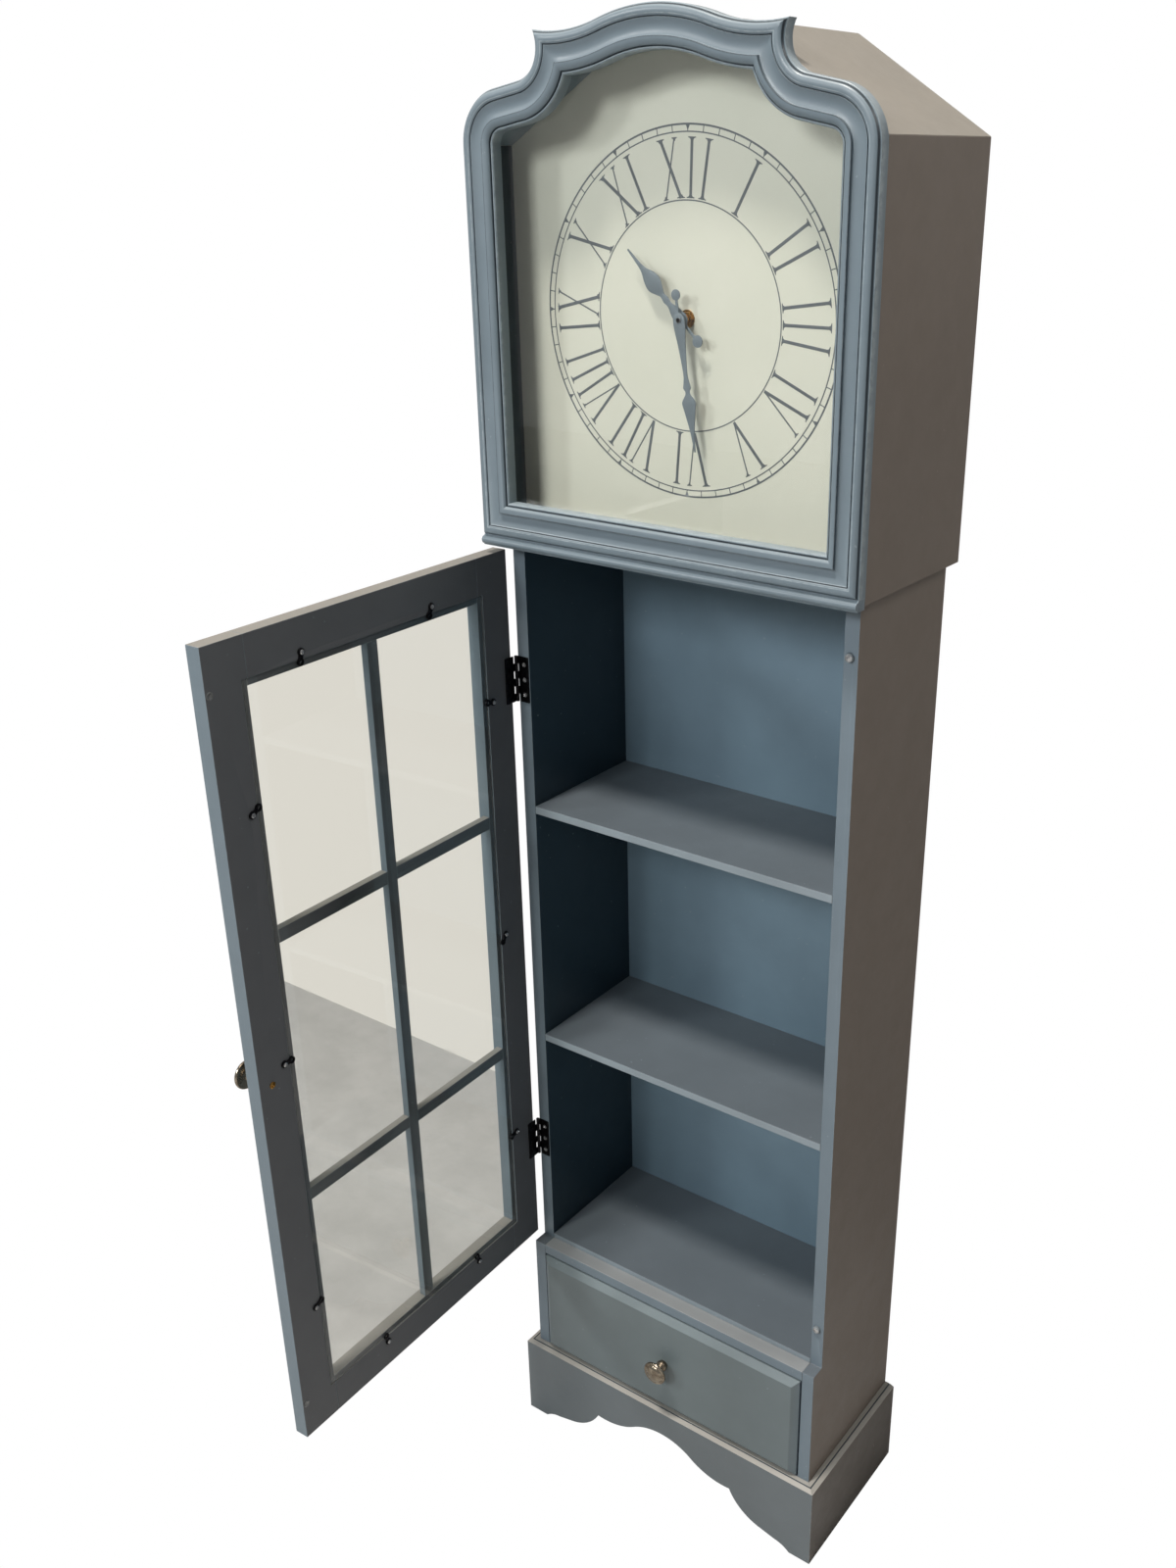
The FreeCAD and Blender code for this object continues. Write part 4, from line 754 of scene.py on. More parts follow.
def circle_crossing(first, first_radius, second, second_radius):
    """The crossing of two circles on the left of the way from the first to the second."""
    across = second - first
    apart = np.hypot(*across)
    along = (first_radius**2 - second_radius**2 + apart**2) / (2 * apart)
    off = np.sqrt(first_radius**2 - along**2)
    ahead = across / apart
    aside = np.array([-ahead[1], ahead[0]])
    return first + along[:, None] * ahead + off[:, None] * aside


def frame_outline(inset):
    """The closed outline at each inset, from the lower right corner up and round."""
    corner = pairs(hood_half - inset, frame_foot + inset)
    spring_point = pairs(hood_half - inset, np.full_like(inset, spring))
    toward = np.array([math.cos(facing), math.sin(facing)])
    shoulder_end = shoulder + (shoulder_radius - inset)[:, None] * toward
    neck_start = neck - (neck_radius + inset)[:, None] * toward
    ear = circle_crossing(neck, neck_radius + inset, hollow, hollow_radius + inset)
    ear_angle = np.arctan2(*(ear - neck).T[::-1])
    ear_angle = np.where(ear_angle > 0, ear_angle - 2 * math.pi, ear_angle)
    hollow_start = np.arctan2(*(ear - hollow).T[::-1])
    hollow_end = math.atan2(*(crest - hollow)[::-1])
    parts = [
        line_points(corner, spring_point, 2),
        arc_points(shoulder, shoulder_radius - inset, 0.0, facing, 20),
        line_points(shoulder_end, neck_start, 4),
        arc_points(neck, neck_radius + inset, facing - math.pi, ear_angle, 20),
        arc_points(hollow, hollow_radius + inset, hollow_start, hollow_end, 10),
        arc_points(crest, crest_radius - inset, hollow_end + math.pi, math.pi / 2, 14),
    ]
    right = np.concatenate(parts, axis=1)
    top = pairs(np.zeros_like(inset), crest[1] + crest_radius - inset)[:, None, :]
    left = right[:, ::-1] * np.array([-1.0, 1.0])
    return np.concatenate([right, top, left], axis=1)


# %% Section of the moulding
def moulding_section():
    """Inset and height of each point, from the outer back edge over the front to the back."""
    turn = math.pi * 0.82
    angle = np.linspace(0, turn, 15)[1:]
    bead_in = 0.041 + 0.253 * (1 - np.cos(angle)) / (1 - math.cos(turn))
    bead_up = 0.7875 + 0.2125 * np.sin(angle)
    share = np.linspace(0, 1, 13)
    cove_in = 0.3175 + 0.382 * share
    cove_up = 0.9125 - 0.1125 * share - 0.376 * share * (1 - share)
    quarter = np.linspace(0, math.pi / 2, 10)
    ovolo_in = 0.7098 + 0.206 * np.sin(quarter)
    ovolo_up = 0.70 + 0.275 * np.cos(quarter)
    inner_in = [0.9261, 0.9364, 0.950, 0.972, 0.990, 1.0, 1.0]
    inner_up = [0.65, 0.70, 0.725, 0.725, 0.69, 0.6125, 0.0]
    outer_in = [0.0, 0.0, 0.012, 0.041]
    outer_up = [0.0, 0.705, 0.72, 0.7875]
    inset = np.concatenate([outer_in, bead_in, [0.3057], cove_in, ovolo_in, inner_in])
    height = np.concatenate([outer_up, bead_up, [0.83], cove_up, ovolo_up, inner_up])
    return inset * FRAME_WIDTH, height * frame_thickness


RIDGES = np.array([0.0, 0.24, 0.3175, 0.6995, 0.95, 0.99])
GROOVES = np.array([0.041, 0.3057, 0.7098, 0.9261])


def nearness(inset, places, reach):
    """exp(-(d / reach)^2), with d the distance in frame widths to the nearest place."""
    distance = np.abs(inset[:, None] / FRAME_WIDTH - places).min(axis=1)
    return np.exp(-((distance / reach) ** 2))


inset, height = moulding_section()
rings = frame_outline(inset)
depths = np.broadcast_to((frame_back - height)[:, None], rings.shape[:2])
frame_points = np.stack([rings[..., 0], depths, rings[..., 1]], axis=-1)
frame_faces = grid_faces(*rings.shape[:2], wrap_rows=True, wrap_columns=True)
moulding = make_piece(
    "frame_moulding", [(frame_points, frame_faces)], moulding_paint, "cabinet", "slate_paint", "hood_frame",
    sharp=36,
)
on_front = height > frame_thickness * 0.6
relief = nearness(inset, RIDGES, 0.012) - nearness(inset, GROOVES, 0.018) * 1.2
relief = np.repeat(np.where(on_front, relief, 0.0), rings.shape[1])
moulding.data.attributes.new("relief", "FLOAT", "POINT").data.foreach_set("value", relief)
print("frame points:", frame_points.shape)


# %% [markdown]
# ## Half-round strip
# The strip under the frame is a straight extrusion, so its section is worked out once and
# carried along X. Each end is drawn in a little, as sanding leaves it.


# %% Strip under the frame
def extrusion(section, low, high, soften=0.5 * MM):
    """A section in Y and Z carried along X, its ends drawn in by a quarter round."""
    turn = np.linspace(0, math.pi / 2, 4)
    middle = section.mean(axis=0)
    towards = section - middle
    ends = low + soften * (1 - np.cos(turn))
    shrink = 1 - soften * (1 - np.sin(turn)) / np.abs(towards).max()
    x = np.concatenate([ends, (low + high - ends)[::-1]])
    scale = np.concatenate([shrink, shrink[::-1]])
    points = np.empty((len(x), len(section), 3))
    points[..., 0] = x[:, None]
    points[..., 1:] = middle + towards * scale[:, None, None]
    count = len(section)
    faces = grid_faces(len(x), count, wrap_columns=True).tolist()
    faces.append(list(range(count)))
    faces.append(list(range((len(x) - 1) * count, len(x) * count)))
    return points, faces


fillet = 1.3 * MM
nose_reach = 0.92
nose_half = (frame_foot - strip_low.z) / 2 - fillet
nose_middle = (frame_foot + strip_low.z) / 2
nose_back = strip_low.y + nose_half * nose_reach
turn = np.linspace(-math.pi / 2, math.pi / 2, 17)
nose = pairs(nose_back - nose_half * nose_reach * np.cos(turn), nose_middle + nose_half * np.sin(turn))
step = 0.3 * MM
back, low = strip_high.y, strip_low.z
foot = [(back, low), (nose_back + step, low), (nose_back, low + step)]
top = [(nose_back + step, frame_foot - fillet), (nose_back + fillet, frame_foot), (back, frame_foot)]
strip = extrusion(np.concatenate([foot, nose, top]), strip_low.x, strip_high.x)
make_piece("hood_strip", [strip], strip_paint, "cabinet", "slate_paint", "hood_bullnose", sharp=40)


# %% [markdown]
# ## Turned parts
# A knob or a screw head comes off a lathe: one profile of radius and height, spun about
# an axis. As an array it is simply base + axis * height + radius * (cos, sin).


# %% Lathe
def lathe(base, axis, profile, steps=48):
    """base + axis * height + radius * (e1 cos a + e2 sin a), for each (radius, height)."""
    axis = axis_of(axis) / np.linalg.norm(axis)
    helper = axis_of(UPWARD if abs(axis[2]) < 0.9 else RIGHTWARD)
    first = np.cross(axis, helper)
    first /= np.linalg.norm(first)
    second = np.cross(axis, first)
    angle = full_turn(steps)
    around = np.cos(angle)[:, None] * first + np.sin(angle)[:, None] * second
    radius, height = np.asarray(profile, float).T[:, :, None, None]
    points = np.asarray(base) + height * axis + radius * around
    return points, grid_faces(len(profile), steps, wrap_columns=True)


def tube(base, axis, inner, outer, length, soften, steps=48):
    """A closed tube whose outer rims are chamfered."""
    profile = [
        (inner, 0.0), (outer - soften, 0.0), (outer, soften),
        (outer, length - soften), (outer - soften, length), (inner, length), (inner, 0.0),
    ]
    return lathe(base, axis, profile, steps)


def smooth_profile(points, steps=6):
    """Points along a smooth curve through the given ones, by Catmull-Rom weights."""
    given = np.asarray(points, float)
    padded = np.concatenate([2 * given[:1] - given[1:2], given, 2 * given[-1:] - given[-2:-1]])
    share = np.linspace(0, 1, steps, endpoint=False)[None, :, None]
    p0, p1, p2, p3 = (padded[k:len(padded) - 3 + k, None, :] for k in range(4))
    curve = 2 * p1 + (p2 - p0) * share + (2 * p0 - 5 * p1 + 4 * p2 - p3) * share**2
    curve = (curve + (3 * p1 - p0 - 3 * p2 + p3) * share**3) / 2
    return np.concatenate([curve.reshape(-1, given.shape[1]), given[-1:]])


# %% [markdown]
# ## Knobs
# Both knobs are cast with a round boss at the foot, a short neck and a dished head with
# a raised rim, and plated in a nickel that has aged brown in its hollows.

# %% Knobs
KNOB_BOSS = [(6.4, 1.2), (7.3, 3.2), (7.0, 5.4), (5.6, 7.6), (4.6, 9.4)]
KNOB_BELL = [(4.5, 11.0), (5.6, 12.8), (8.6, 14.6), (12.4, 15.6), (14.9, 16.4)]
KNOB_EDGE = [(15.6, 17.6), (15.3, 18.8)]
KNOB_RIM = [(14.6, 19.5), (13.7, 19.8), (12.8, 19.5), (12.2, 19.6)]
KNOB_DOME = [(11.6, 20.3), (9.4, 21.7), (6.2, 22.9), (3.0, 23.5), (0.0, 23.7)]
KNOB_SCALE = (0.96 * MM, MM)
knob_curve = smooth_profile(KNOB_BOSS + KNOB_BELL + KNOB_EDGE + KNOB_RIM + KNOB_DOME)
knob_profile = np.concatenate([[(0.0, 0.0), (6.0, 0.0)], knob_curve]) * KNOB_SCALE


def make_knob(name, node, axis, body):
    """A knob that stands on the face that its CAD node stands on."""
    base = foot_of(solids_of(node)[0], axis)
    return make_piece(name, [lathe(base, axis, knob_profile, 72)], old_nickel, body, "nickel", node)


make_knob("drawer_knob_turned", "drawer_knob", FORWARD, "drawer")
make_knob("door_knob_turned", "door_knob", -door_inward, "door")
print("knob profile points:", len(knob_profile))


# %% [markdown]
# ## Pieces cut from sheet
# The hands, the hinge leaves and the turn-buttons are all stamped from sheet metal. Each
# is an outline, with holes, given a thickness. The front edge is rounded a little: the
# outline is drawn again, moved inwards by r (1 - cos a) while it rises by r sin a.


# %% Sheet pieces
def inward_of(loop):
    """Unit normals to the left of a closed loop, from the chord between both neighbours."""
    chord = np.roll(loop, -1, axis=0) - np.roll(loop, 1, axis=0)
    left = pairs(-chord[:, 1], chord[:, 0])
    return left / np.linalg.norm(left, axis=1)[:, None]


def turns_left(loop):
    """Whether a closed loop runs anticlockwise, by twice its area."""
    following = np.roll(loop, -1, axis=0)
    return np.sum(loop[:, 0] * following[:, 1] - loop[:, 1] * following[:, 0]) > 0


def sheet(origin, across, up, out, loops, thickness, rounding):
    """origin + across * u + up * v + out * w; loops are the outline and then the holes."""
    turn = np.linspace(0, math.pi / 2, 4)
    heights = np.concatenate([[0.0], thickness - rounding + rounding * np.sin(turn)])
    insets = np.concatenate([[0.0], rounding * (1 - np.cos(turn))])
    across, up, out = (axis_of(v) for v in (across, up, out))
    points, faces, foot_cap, top_cap = [], [], [], []
    start = 0
    for order, loop in enumerate(loops):
        loop = np.asarray(loop, float)
        loop = loop if turns_left(loop) == (order == 0) else loop[::-1]
        rings = loop + insets[:, None, None] * inward_of(loop)
        space = np.asarray(origin) + rings[..., :1] * across + rings[..., 1:] * up
        points.append((space + heights[:, None, None] * out).reshape(-1, 3))
        faces += (grid_faces(len(heights), len(loop), wrap_columns=True) + start).tolist()
        numbers = start + np.arange(len(loop))
        foot_cap.append((rings[0], numbers))
        top_cap.append((rings[-1], numbers + len(loop) * (len(heights) - 1)))
        start += rings.shape[0] * rings.shape[1]
    for cap in (foot_cap, top_cap):
        numbers = np.concatenate([n for _, n in cap])
        flat = [[Vector((u, v, 0)) for u, v in ring] for ring, _ in cap]
        faces += [[int(numbers[i]) for i in triangle] for triangle in tessellate_polygon(flat)]
    return np.concatenate(points), faces


def circle_loop(radius, centre=(0.0, 0.0), steps=32):
    """centre + radius * (cos a, sin a)."""
    return np.asarray(centre) + radius * round_places(full_turn(steps))


def disc_width(along, centre, radius):
    """Half width of a disc at each place along an axis: sqrt(r^2 - (s - c)^2)."""
    return np.sqrt(np.clip(radius**2 - (along - centre) ** 2, 0, None))


def both_sides(along, half_width):
    """A closed outline that is the same on both sides of its axis, which runs along v."""
    right = pairs(half_width, along)
    left = pairs(-half_width, along)[half_width > 1e-7]
    return np.concatenate([right, left[::-1]])


# %% [markdown]
# ## Hands
# The half outline of a hand is the widest of its members at each place: the ball at the
# tail, the thin stem, the hub, and the blade, which is a smooth curve through a few
# chosen stations. The members then melt into one stamped sheet, as the real hand has.

# %% Hands
MINUTE_BLADE = [
    (0.0, 0.42), (0.055, 0.415), (0.20, 0.27), (0.39, 0.145), (0.46, 0.20), (0.50, 0.28),
    (0.512, 0.265), (0.535, 0.16), (0.56, 0.20), (0.60, 0.44), (0.63, 0.50), (0.70, 0.38),
    (0.85, 0.15), (1.0, 0.035),
]
HOUR_BLADE = [
    (0.0, 0.38), (0.10, 0.34), (0.21, 0.16), (0.28, 0.20), (0.35, 0.15), (0.40, 0.27),
    (0.50, 0.50), (0.60, 0.42), (0.72, 0.16), (0.86, 0.085), (1.0, 0.045),
]
HAND_SHEET = 0.8 * MM


def hand_loop(blade, length, width, tail):
    """The outline of a hand that points up, from the tail's ball to the tip."""
    ball = width * 0.32
    ball_place = ball - tail
    curve = smooth_profile(blade, 8) * np.array([length, width])
    turn = np.linspace(-math.pi / 2, math.pi / 2, 25)
    along = [ball_place + ball * np.sin(turn), np.linspace(ball_place + ball, 0, 40), curve[:, 0]]
    along = np.unique(np.concatenate(along))
    blade_width = np.where(along >= 0, np.interp(along, curve[:, 0], curve[:, 1]), 0)
    stem = np.where((along > ball_place) & (along < 0), width * 0.085, 0)
    discs = [disc_width(along, ball_place, ball), disc_width(along, 0, width * 0.42)]
    return both_sides(along, np.maximum.reduce([blade_width, stem, *discs]))


def on_axis(y):
    """The place on the hands' axis at a depth y."""
    return Vector((0, y, dial_height))


def hand_shell(node, loop, bore, angle):
    """A hand in front of the dial, at the angle that it has on the photographed clock."""
    turn = math.radians(angle)
    sideways = Vector((math.cos(turn), 0, -math.sin(turn)))
    pointing = Vector((math.sin(turn), 0, math.cos(turn)))
    origin = on_axis(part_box(node)[0].y + HAND_SHEET)
    loops = [loop, circle_loop(bore)]
    return sheet(origin, sideways, pointing, FORWARD, loops, HAND_SHEET, 0.18 * MM)


ARBOR = 2.0 * MM
PIPE = 3.2 * MM
RUNNING_GAP = 0.05 * MM
minute_loop = hand_loop(MINUTE_BLADE, 115 * MM, 14.6 * MM, 26 * MM)
minute_shell = hand_shell("minute_hand", minute_loop, ARBOR, 171.0)
make_piece("minute_blade", [minute_shell], hand_paint, "minute", "grey_hand", "minute_hand", sharp=40)
hour_loop = hand_loop(HOUR_BLADE, 81 * MM, 16.5 * MM, 30 * MM)
hour_shell = hand_shell("hour_hand", hour_loop, PIPE, 314.25)
make_piece("hour_blade", [hour_shell], hand_paint, "hour", "grey_hand", "hour_hand", sharp=40)

# %% [markdown]
# ## Movement
# The clock's movement is a small black box behind the dial. Its threaded bush comes
# through the dial under a brass washer and a hexagon nut. The hour hand rides on a pipe
# inside the bush, and the minute hand on an arbor inside the pipe, which runs through to
# a knurled setting wheel at the back.

# %% Pipe, arbor, bush and nut
hour_low, hour_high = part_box("hour_hand")
pipe_length = hour_high.y - hour_low.y
pipe = tube(on_axis(hour_high.y), FORWARD, ARBOR + RUNNING_GAP, PIPE, pipe_length, 0.15 * MM)
make_piece("hour_pipe", [pipe], turned_brass, "hour", "brass", "hour_hand")

arbor_low, arbor_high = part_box("minute_arbor")
arbor_base = on_axis(arbor_high.y)
arbor_length = arbor_high.y - arbor_low.y
rod_profile = [(0, 0), (ARBOR, 0), (ARBOR, arbor_length), (0, arbor_length)]
rod = lathe(arbor_base, FORWARD, rod_profile)
make_piece("arbor_rod", [rod], turned_brass, "minute", "brass", "minute_arbor")
cap_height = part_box("minute_hand")[0].y - arbor_low.y
cap_curve = [(2.75 * MM, 0.0), (2.7 * MM, cap_height * 0.55), (1.9 * MM, cap_height)]
cap_profile = [(0, 0), *smooth_profile(cap_curve, 4).tolist(), (0, cap_height)]
cap = lathe(on_axis(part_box("minute_hand")[0].y), FORWARD, cap_profile)
make_piece("arbor_cap", [cap], hand_paint, "minute", "grey_hand", "minute_arbor")
KNURLS = 24
KNURL_DEPTH = 0.25 * MM
WHEEL_THICKNESS = 3.5 * MM
wheel_radius = (arbor_high.x - arbor_low.x) / 2
wheel_turn = full_turn(KNURLS * 8)
wheel_edge = wheel_radius - KNURL_DEPTH * (1 + np.cos(wheel_turn * KNURLS))
wheel_loop = wheel_edge[:, None] * round_places(wheel_turn)
wheel = sheet(arbor_base, RIGHTWARD, UPWARD, FORWARD, [wheel_loop], WHEEL_THICKNESS, 0.4 * MM)
make_piece("setting_wheel", [wheel], black_plastic, "minute", "black_plastic", "minute_arbor")

bush_low, bush_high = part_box("movement_bush")
THREAD_RADIUS = 3.95 * MM
THREAD_STEP = 0.25 * MM
NUT_BORE = 4.02 * MM
NUT_FLATS = 12.0 * MM
WASHER = 0.6 * MM
bush_length = bush_high.y - bush_low.y
thread = np.arange(0, bush_length, THREAD_STEP)
thread_radius = THREAD_RADIUS + 0.05 * MM * np.cos(np.arange(len(thread)) * math.pi)
bore = PIPE + RUNNING_GAP
bush_end = [(3.8 * MM, bush_length), (bore, bush_length), (bore, 0.0)]
bush = lathe(on_axis(bush_high.y), FORWARD, [(bore, 0.0), *zip(thread_radius, thread), *bush_end])
washer = tube(dial_centre, FORWARD, NUT_BORE, 8.0 * MM, WASHER, 0.12 * MM, 64)
nut_centre = dial_centre + FORWARD * WASHER
nut_loops = [circle_loop(NUT_FLATS / math.sqrt(3), steps=6), circle_loop(NUT_BORE)]
nut = sheet(nut_centre, RIGHTWARD, UPWARD, FORWARD, nut_loops, 2.4 * MM, 0.3 * MM)
fitting = [bush, washer, nut]
make_piece("bush_and_nut", fitting, turned_brass, "cabinet", "brass", "movement_bush", sharp=28)

# %% Battery
cell_radius = (cell_high.z - cell_low.z) / 2
cell_length = cell_high.x - cell_low.x
cell_end = cell_length - 1.2 * MM
rim = cell_radius - 0.5 * MM
cell_profile = [
    (0.0, 0.2 * MM), (cell_radius * 0.62, 0.2 * MM), (cell_radius * 0.66, 0.0), (rim, 0.0),
    (cell_radius, 0.5 * MM), (cell_radius, cell_end - 0.5 * MM), (rim, cell_end), (2.75 * MM, cell_end),
    (2.7 * MM, cell_length - 0.2 * MM), (2.5 * MM, cell_length), (0.0, cell_length),
]
cell_middle = (cell_low + cell_high) / 2
cell = lathe(Vector((cell_low.x, cell_middle.y, cell_middle.z)), RIGHTWARD, cell_profile)
make_piece("battery_cell", [cell], cell_wrap, "cabinet", "cell", "battery")

# %% [markdown]
# ## Printed dial
# The dial has three circles, a minute track with small triangles at the hours, and Roman
# numerals whose feet point to the centre. Ink is thin, so it is modelled as closed shapes
# a tenth of a millimetre proud. Only a few strokes repeat: a straight thick one, and
# slanted ones that are thick or thin. So each letter is a list of strokes in polar
# places, and every numeral of the dial is written with three letters.

# %% Dial print
INK = 0.1 * MM
INK_EDGE = 0.02 * MM
OUTER = 148.0 * MM
INNER = 99.5 * MM
STROKES = {
    "I": [(0.0, 0.0, 2.8)],
    "V": [(-3.7, 0.0, 2.9), (3.7, 0.0, 1.4)],
    "X": [(-2.9, 4.5, 2.9), (2.9, -4.7, 1.4)],
}
NUMERALS = [
    ("I", [29.2]),
    ("II", [55.9, 63.6]),
    ("III", [81.7, 89.6, 97.0]),
    ("IV", [113.8, 124.1]),
    ("V", [149.2]),
    ("VI", [175.2, 184.6]),
    ("VII", [202.2, 209.6, 216.8]),
    ("VIII", [231.0, 238.6, 244.6, 251.3]),
    ("IX", [263.5, 273.5]),
    ("X", [299.0]),
    ("XI", [323.8, 333.6]),
    ("XII", [-8.4, 1.75, 8.7]),
]


def polar(radius, degrees):
    """radius * (sin a, cos a), with a counted clockwise from twelve."""
    angle = math.radians(degrees)
    return radius * np.array([math.sin(angle), math.cos(angle)])


def ink_shape(outline, lift):
    """A closed printed shape; shapes that cross have different lifts, so no faces coincide."""
    return sheet(dial_centre, RIGHTWARD, UPWARD, FORWARD, [outline], INK * lift, INK_EDGE)


def ink_stroke(start, end, width, lift):
    """A straight printed stroke between two places of the dial's plane."""
    along = (end - start) / np.linalg.norm(end - start)
    side = np.array([-along[1], along[0]]) * width / 2
    return ink_shape(np.array([start - side, end - side, end + side, start + side]), lift)


def ink_serif(place, width, outward):
    """A bracketed serif: a thin bar whose inner edge curves into the stroke."""
    radial = place / np.linalg.norm(place) * (-1 if outward else 1)
    side = np.array([-radial[1], radial[0]])
    bar = 1.4 * MM + width * 0.95
    turn = np.linspace(0, math.pi / 2, 5)
    u = np.concatenate([[bar], bar - (bar - width / 2) * np.sin(turn)])
    v = np.concatenate([[0.0], 0.8 * MM + 2.2 * MM * (1 - np.cos(turn))])
    u = np.concatenate([u, -u[::-1]])
    v = np.concatenate([v, v[::-1]])
    return ink_shape(place + u[:, None] * side + v[:, None] * radial, 0.7)


TRACK_OUT = 157.8 * MM
TRACK_IN = 151.9 * MM
RING_IN = 98.0 * MM
ink = []
for radius, width in ((TRACK_OUT, 1.6 * MM), (TRACK_IN, 1.1 * MM), (RING_IN, 1.1 * MM)):
    rim = (radius - width / 2, radius + width / 2)
    ink.append(tube(dial_centre, FORWARD, *rim, INK, INK_EDGE, 256))
for minute in range(60):
    ink.append(ink_stroke(polar(TRACK_IN, minute * 6), polar(TRACK_OUT, minute * 6), 0.9 * MM, 0.6))
for degrees in range(0, 360, 30):
    corners = [polar(152.6 * MM, degrees), *(polar(157.6 * MM, degrees + side) for side in (-0.8, 0.8))]
    ink.append(ink_shape(np.array(corners), 0.8))
for numeral, places in NUMERALS:
    narrow = 0.9 if len(numeral) > 3 else 1.0
    for letter, place in zip(numeral, places):
        for outer_turn, inner_turn, thickness in STROKES[letter]:
            foot = polar(INNER, place + inner_turn * narrow)
            head = polar(OUTER, place + outer_turn * narrow)
            width = thickness * MM * narrow
            ink.append(ink_stroke(foot, head, width, 1.0 if thickness > 2 else 0.85))
            ink.append(ink_serif(head, width, True))
            if letter != "V":
                ink.append(ink_serif(foot, width, False))
make_piece("dial_print", ink, dial_ink, "cabinet", "dial_print", sharp=30)
print("printed shapes:", len(ink))


# %% [markdown]
# ## Screws
# A screw head is a low dome with a cross-shaped recess. The dome is a lathe grid, and the
# recess lowers the points that lie inside either bar of the cross, with a short ramp at
# the bars' edges so that the recess has walls.


# %% Screws
BAR_LENGTH = 0.62
BAR_WIDTH = 0.17
BAR_RAMP = 0.07


def cross_screw(solid, axis, head_radius, head_height, shank_radius):
    """A domed head with a cross recess on a plain shank, in the place of a CAD screw."""
    axis = axis_of(axis)
    tip = foot_of(solid, axis)
    low, high = reach_along(solid, axis)
    length = high - low - head_height
    rings = np.linspace(0, 1, 26)
    rim = head_height * 0.45
    dome = rim + (head_height - rim) * (1 - rings**2)
    profile = [*zip(rings * head_radius, dome), (head_radius, 0.0), (0.0, 0.0)]
    points, faces = lathe(tip + axis * length, axis, profile, 64)
    u, v = np.moveaxis(rings[:, None, None] * round_places(full_turn(64) + 0.6), -1, 0)
    bars = []
    for across, along in ((u, v), (v, u)):
        inside = np.clip((BAR_WIDTH - np.abs(across)) / BAR_RAMP + 0.5, 0, 1)
        bars.append(inside * np.clip((BAR_LENGTH - np.abs(along)) / BAR_RAMP + 0.5, 0, 1))
    points[:len(rings)] -= (np.maximum(*bars) * head_height * 0.62)[..., None] * axis
    point = [(0.0, 0.0), (shank_radius * 0.3, 0.0), (shank_radius, length * 0.12)]
    shank = [*point, (shank_radius, length), (0.0, length)]
    return [(points, faces), lathe(tip, axis, shank, 20)]


def on_buttons(solid):
    """Whether the head of a screw on the door's rear stands behind the hinge line."""
    return reach_along(solid, door_inward)[1] > hinge_line.dot(door_inward)


LEAF_SCREW = (2.6, 0.4, 1.4)
CLIP_SCREW = (2.3, 1.2, 1.45)
KNOB_SCREW = (3.4, 1.6, 2.0)
door_screws = solids_of("door_screws")
clip_screws = [solid for solid in door_screws if on_buttons(solid)]
leaf_screws = [solid for solid in door_screws if not on_buttons(solid)]
print("clip screws:", len(clip_screws), "leaf screws:", len(leaf_screws))
zinc = (bright_zinc, "bright_screw")
black = (black_oxide, "black_metal")
brass = (turned_brass, "bright_screw")
SCREWS = [
    ("clip_screws", clip_screws, door_inward, CLIP_SCREW, zinc, "door", "door_screws"),
    ("door_leaf_screws", leaf_screws, door_inward, LEAF_SCREW, black, "door", "door_screws"),
    ("cabinet_leaf_screws", None, FORWARD, LEAF_SCREW, zinc, "cabinet", "frame_leaf_screws"),
    ("door_knob_bolt", None, door_inward, KNOB_SCREW, brass, "door", "door_knob_screw"),
    ("drawer_knob_bolt", None, -FORWARD, KNOB_SCREW, zinc, "drawer", "drawer_knob_screw"),
]
for name, solids, axis, sizes, (metal_paint, slot), body, node in SCREWS:
    shells = []
    for solid in solids or solids_of(node):
        shells += cross_screw(solid, axis, *(size * MM for size in sizes))
    make_piece(name, shells, metal_paint, body, slot, node, sharp=40)

# %% [markdown]
# ## Hinges
# Each butt hinge is two stamped leaves, black, with three knuckles each on one pin. A
# leaf is a sheet with three screw holes; a short tongue joins it to each of its knuckles.

# %% Hinges
LEAF = 1.3 * MM
LEAF_SEAT = -1.8 * MM
NOTCH = 3.6 * MM
KNUCKLE = 2.0 * MM
PIN_BORE = 1.05 * MM
KNUCKLE_GAP = 0.1 * MM
SCREW_INSET = 5.4 * MM
SCREW_PITCH = 16.5 * MM
SCREW_HOLE = 1.6 * MM


def rounded_rectangle(low, high, corner, steps=5):
    """The corners of a rectangle, each turned as a quarter circle."""
    turn = np.linspace(0, math.pi / 2, steps)
    low = np.asarray(low) + corner
    high = np.asarray(high) - corner
    centres = [(high[0], high[1]), (low[0], high[1]), (low[0], low[1]), (high[0], low[1])]
    arcs = [centre + corner * round_places(turn + k * math.pi / 2) for k, centre in enumerate(centres)]
    return np.concatenate(arcs)


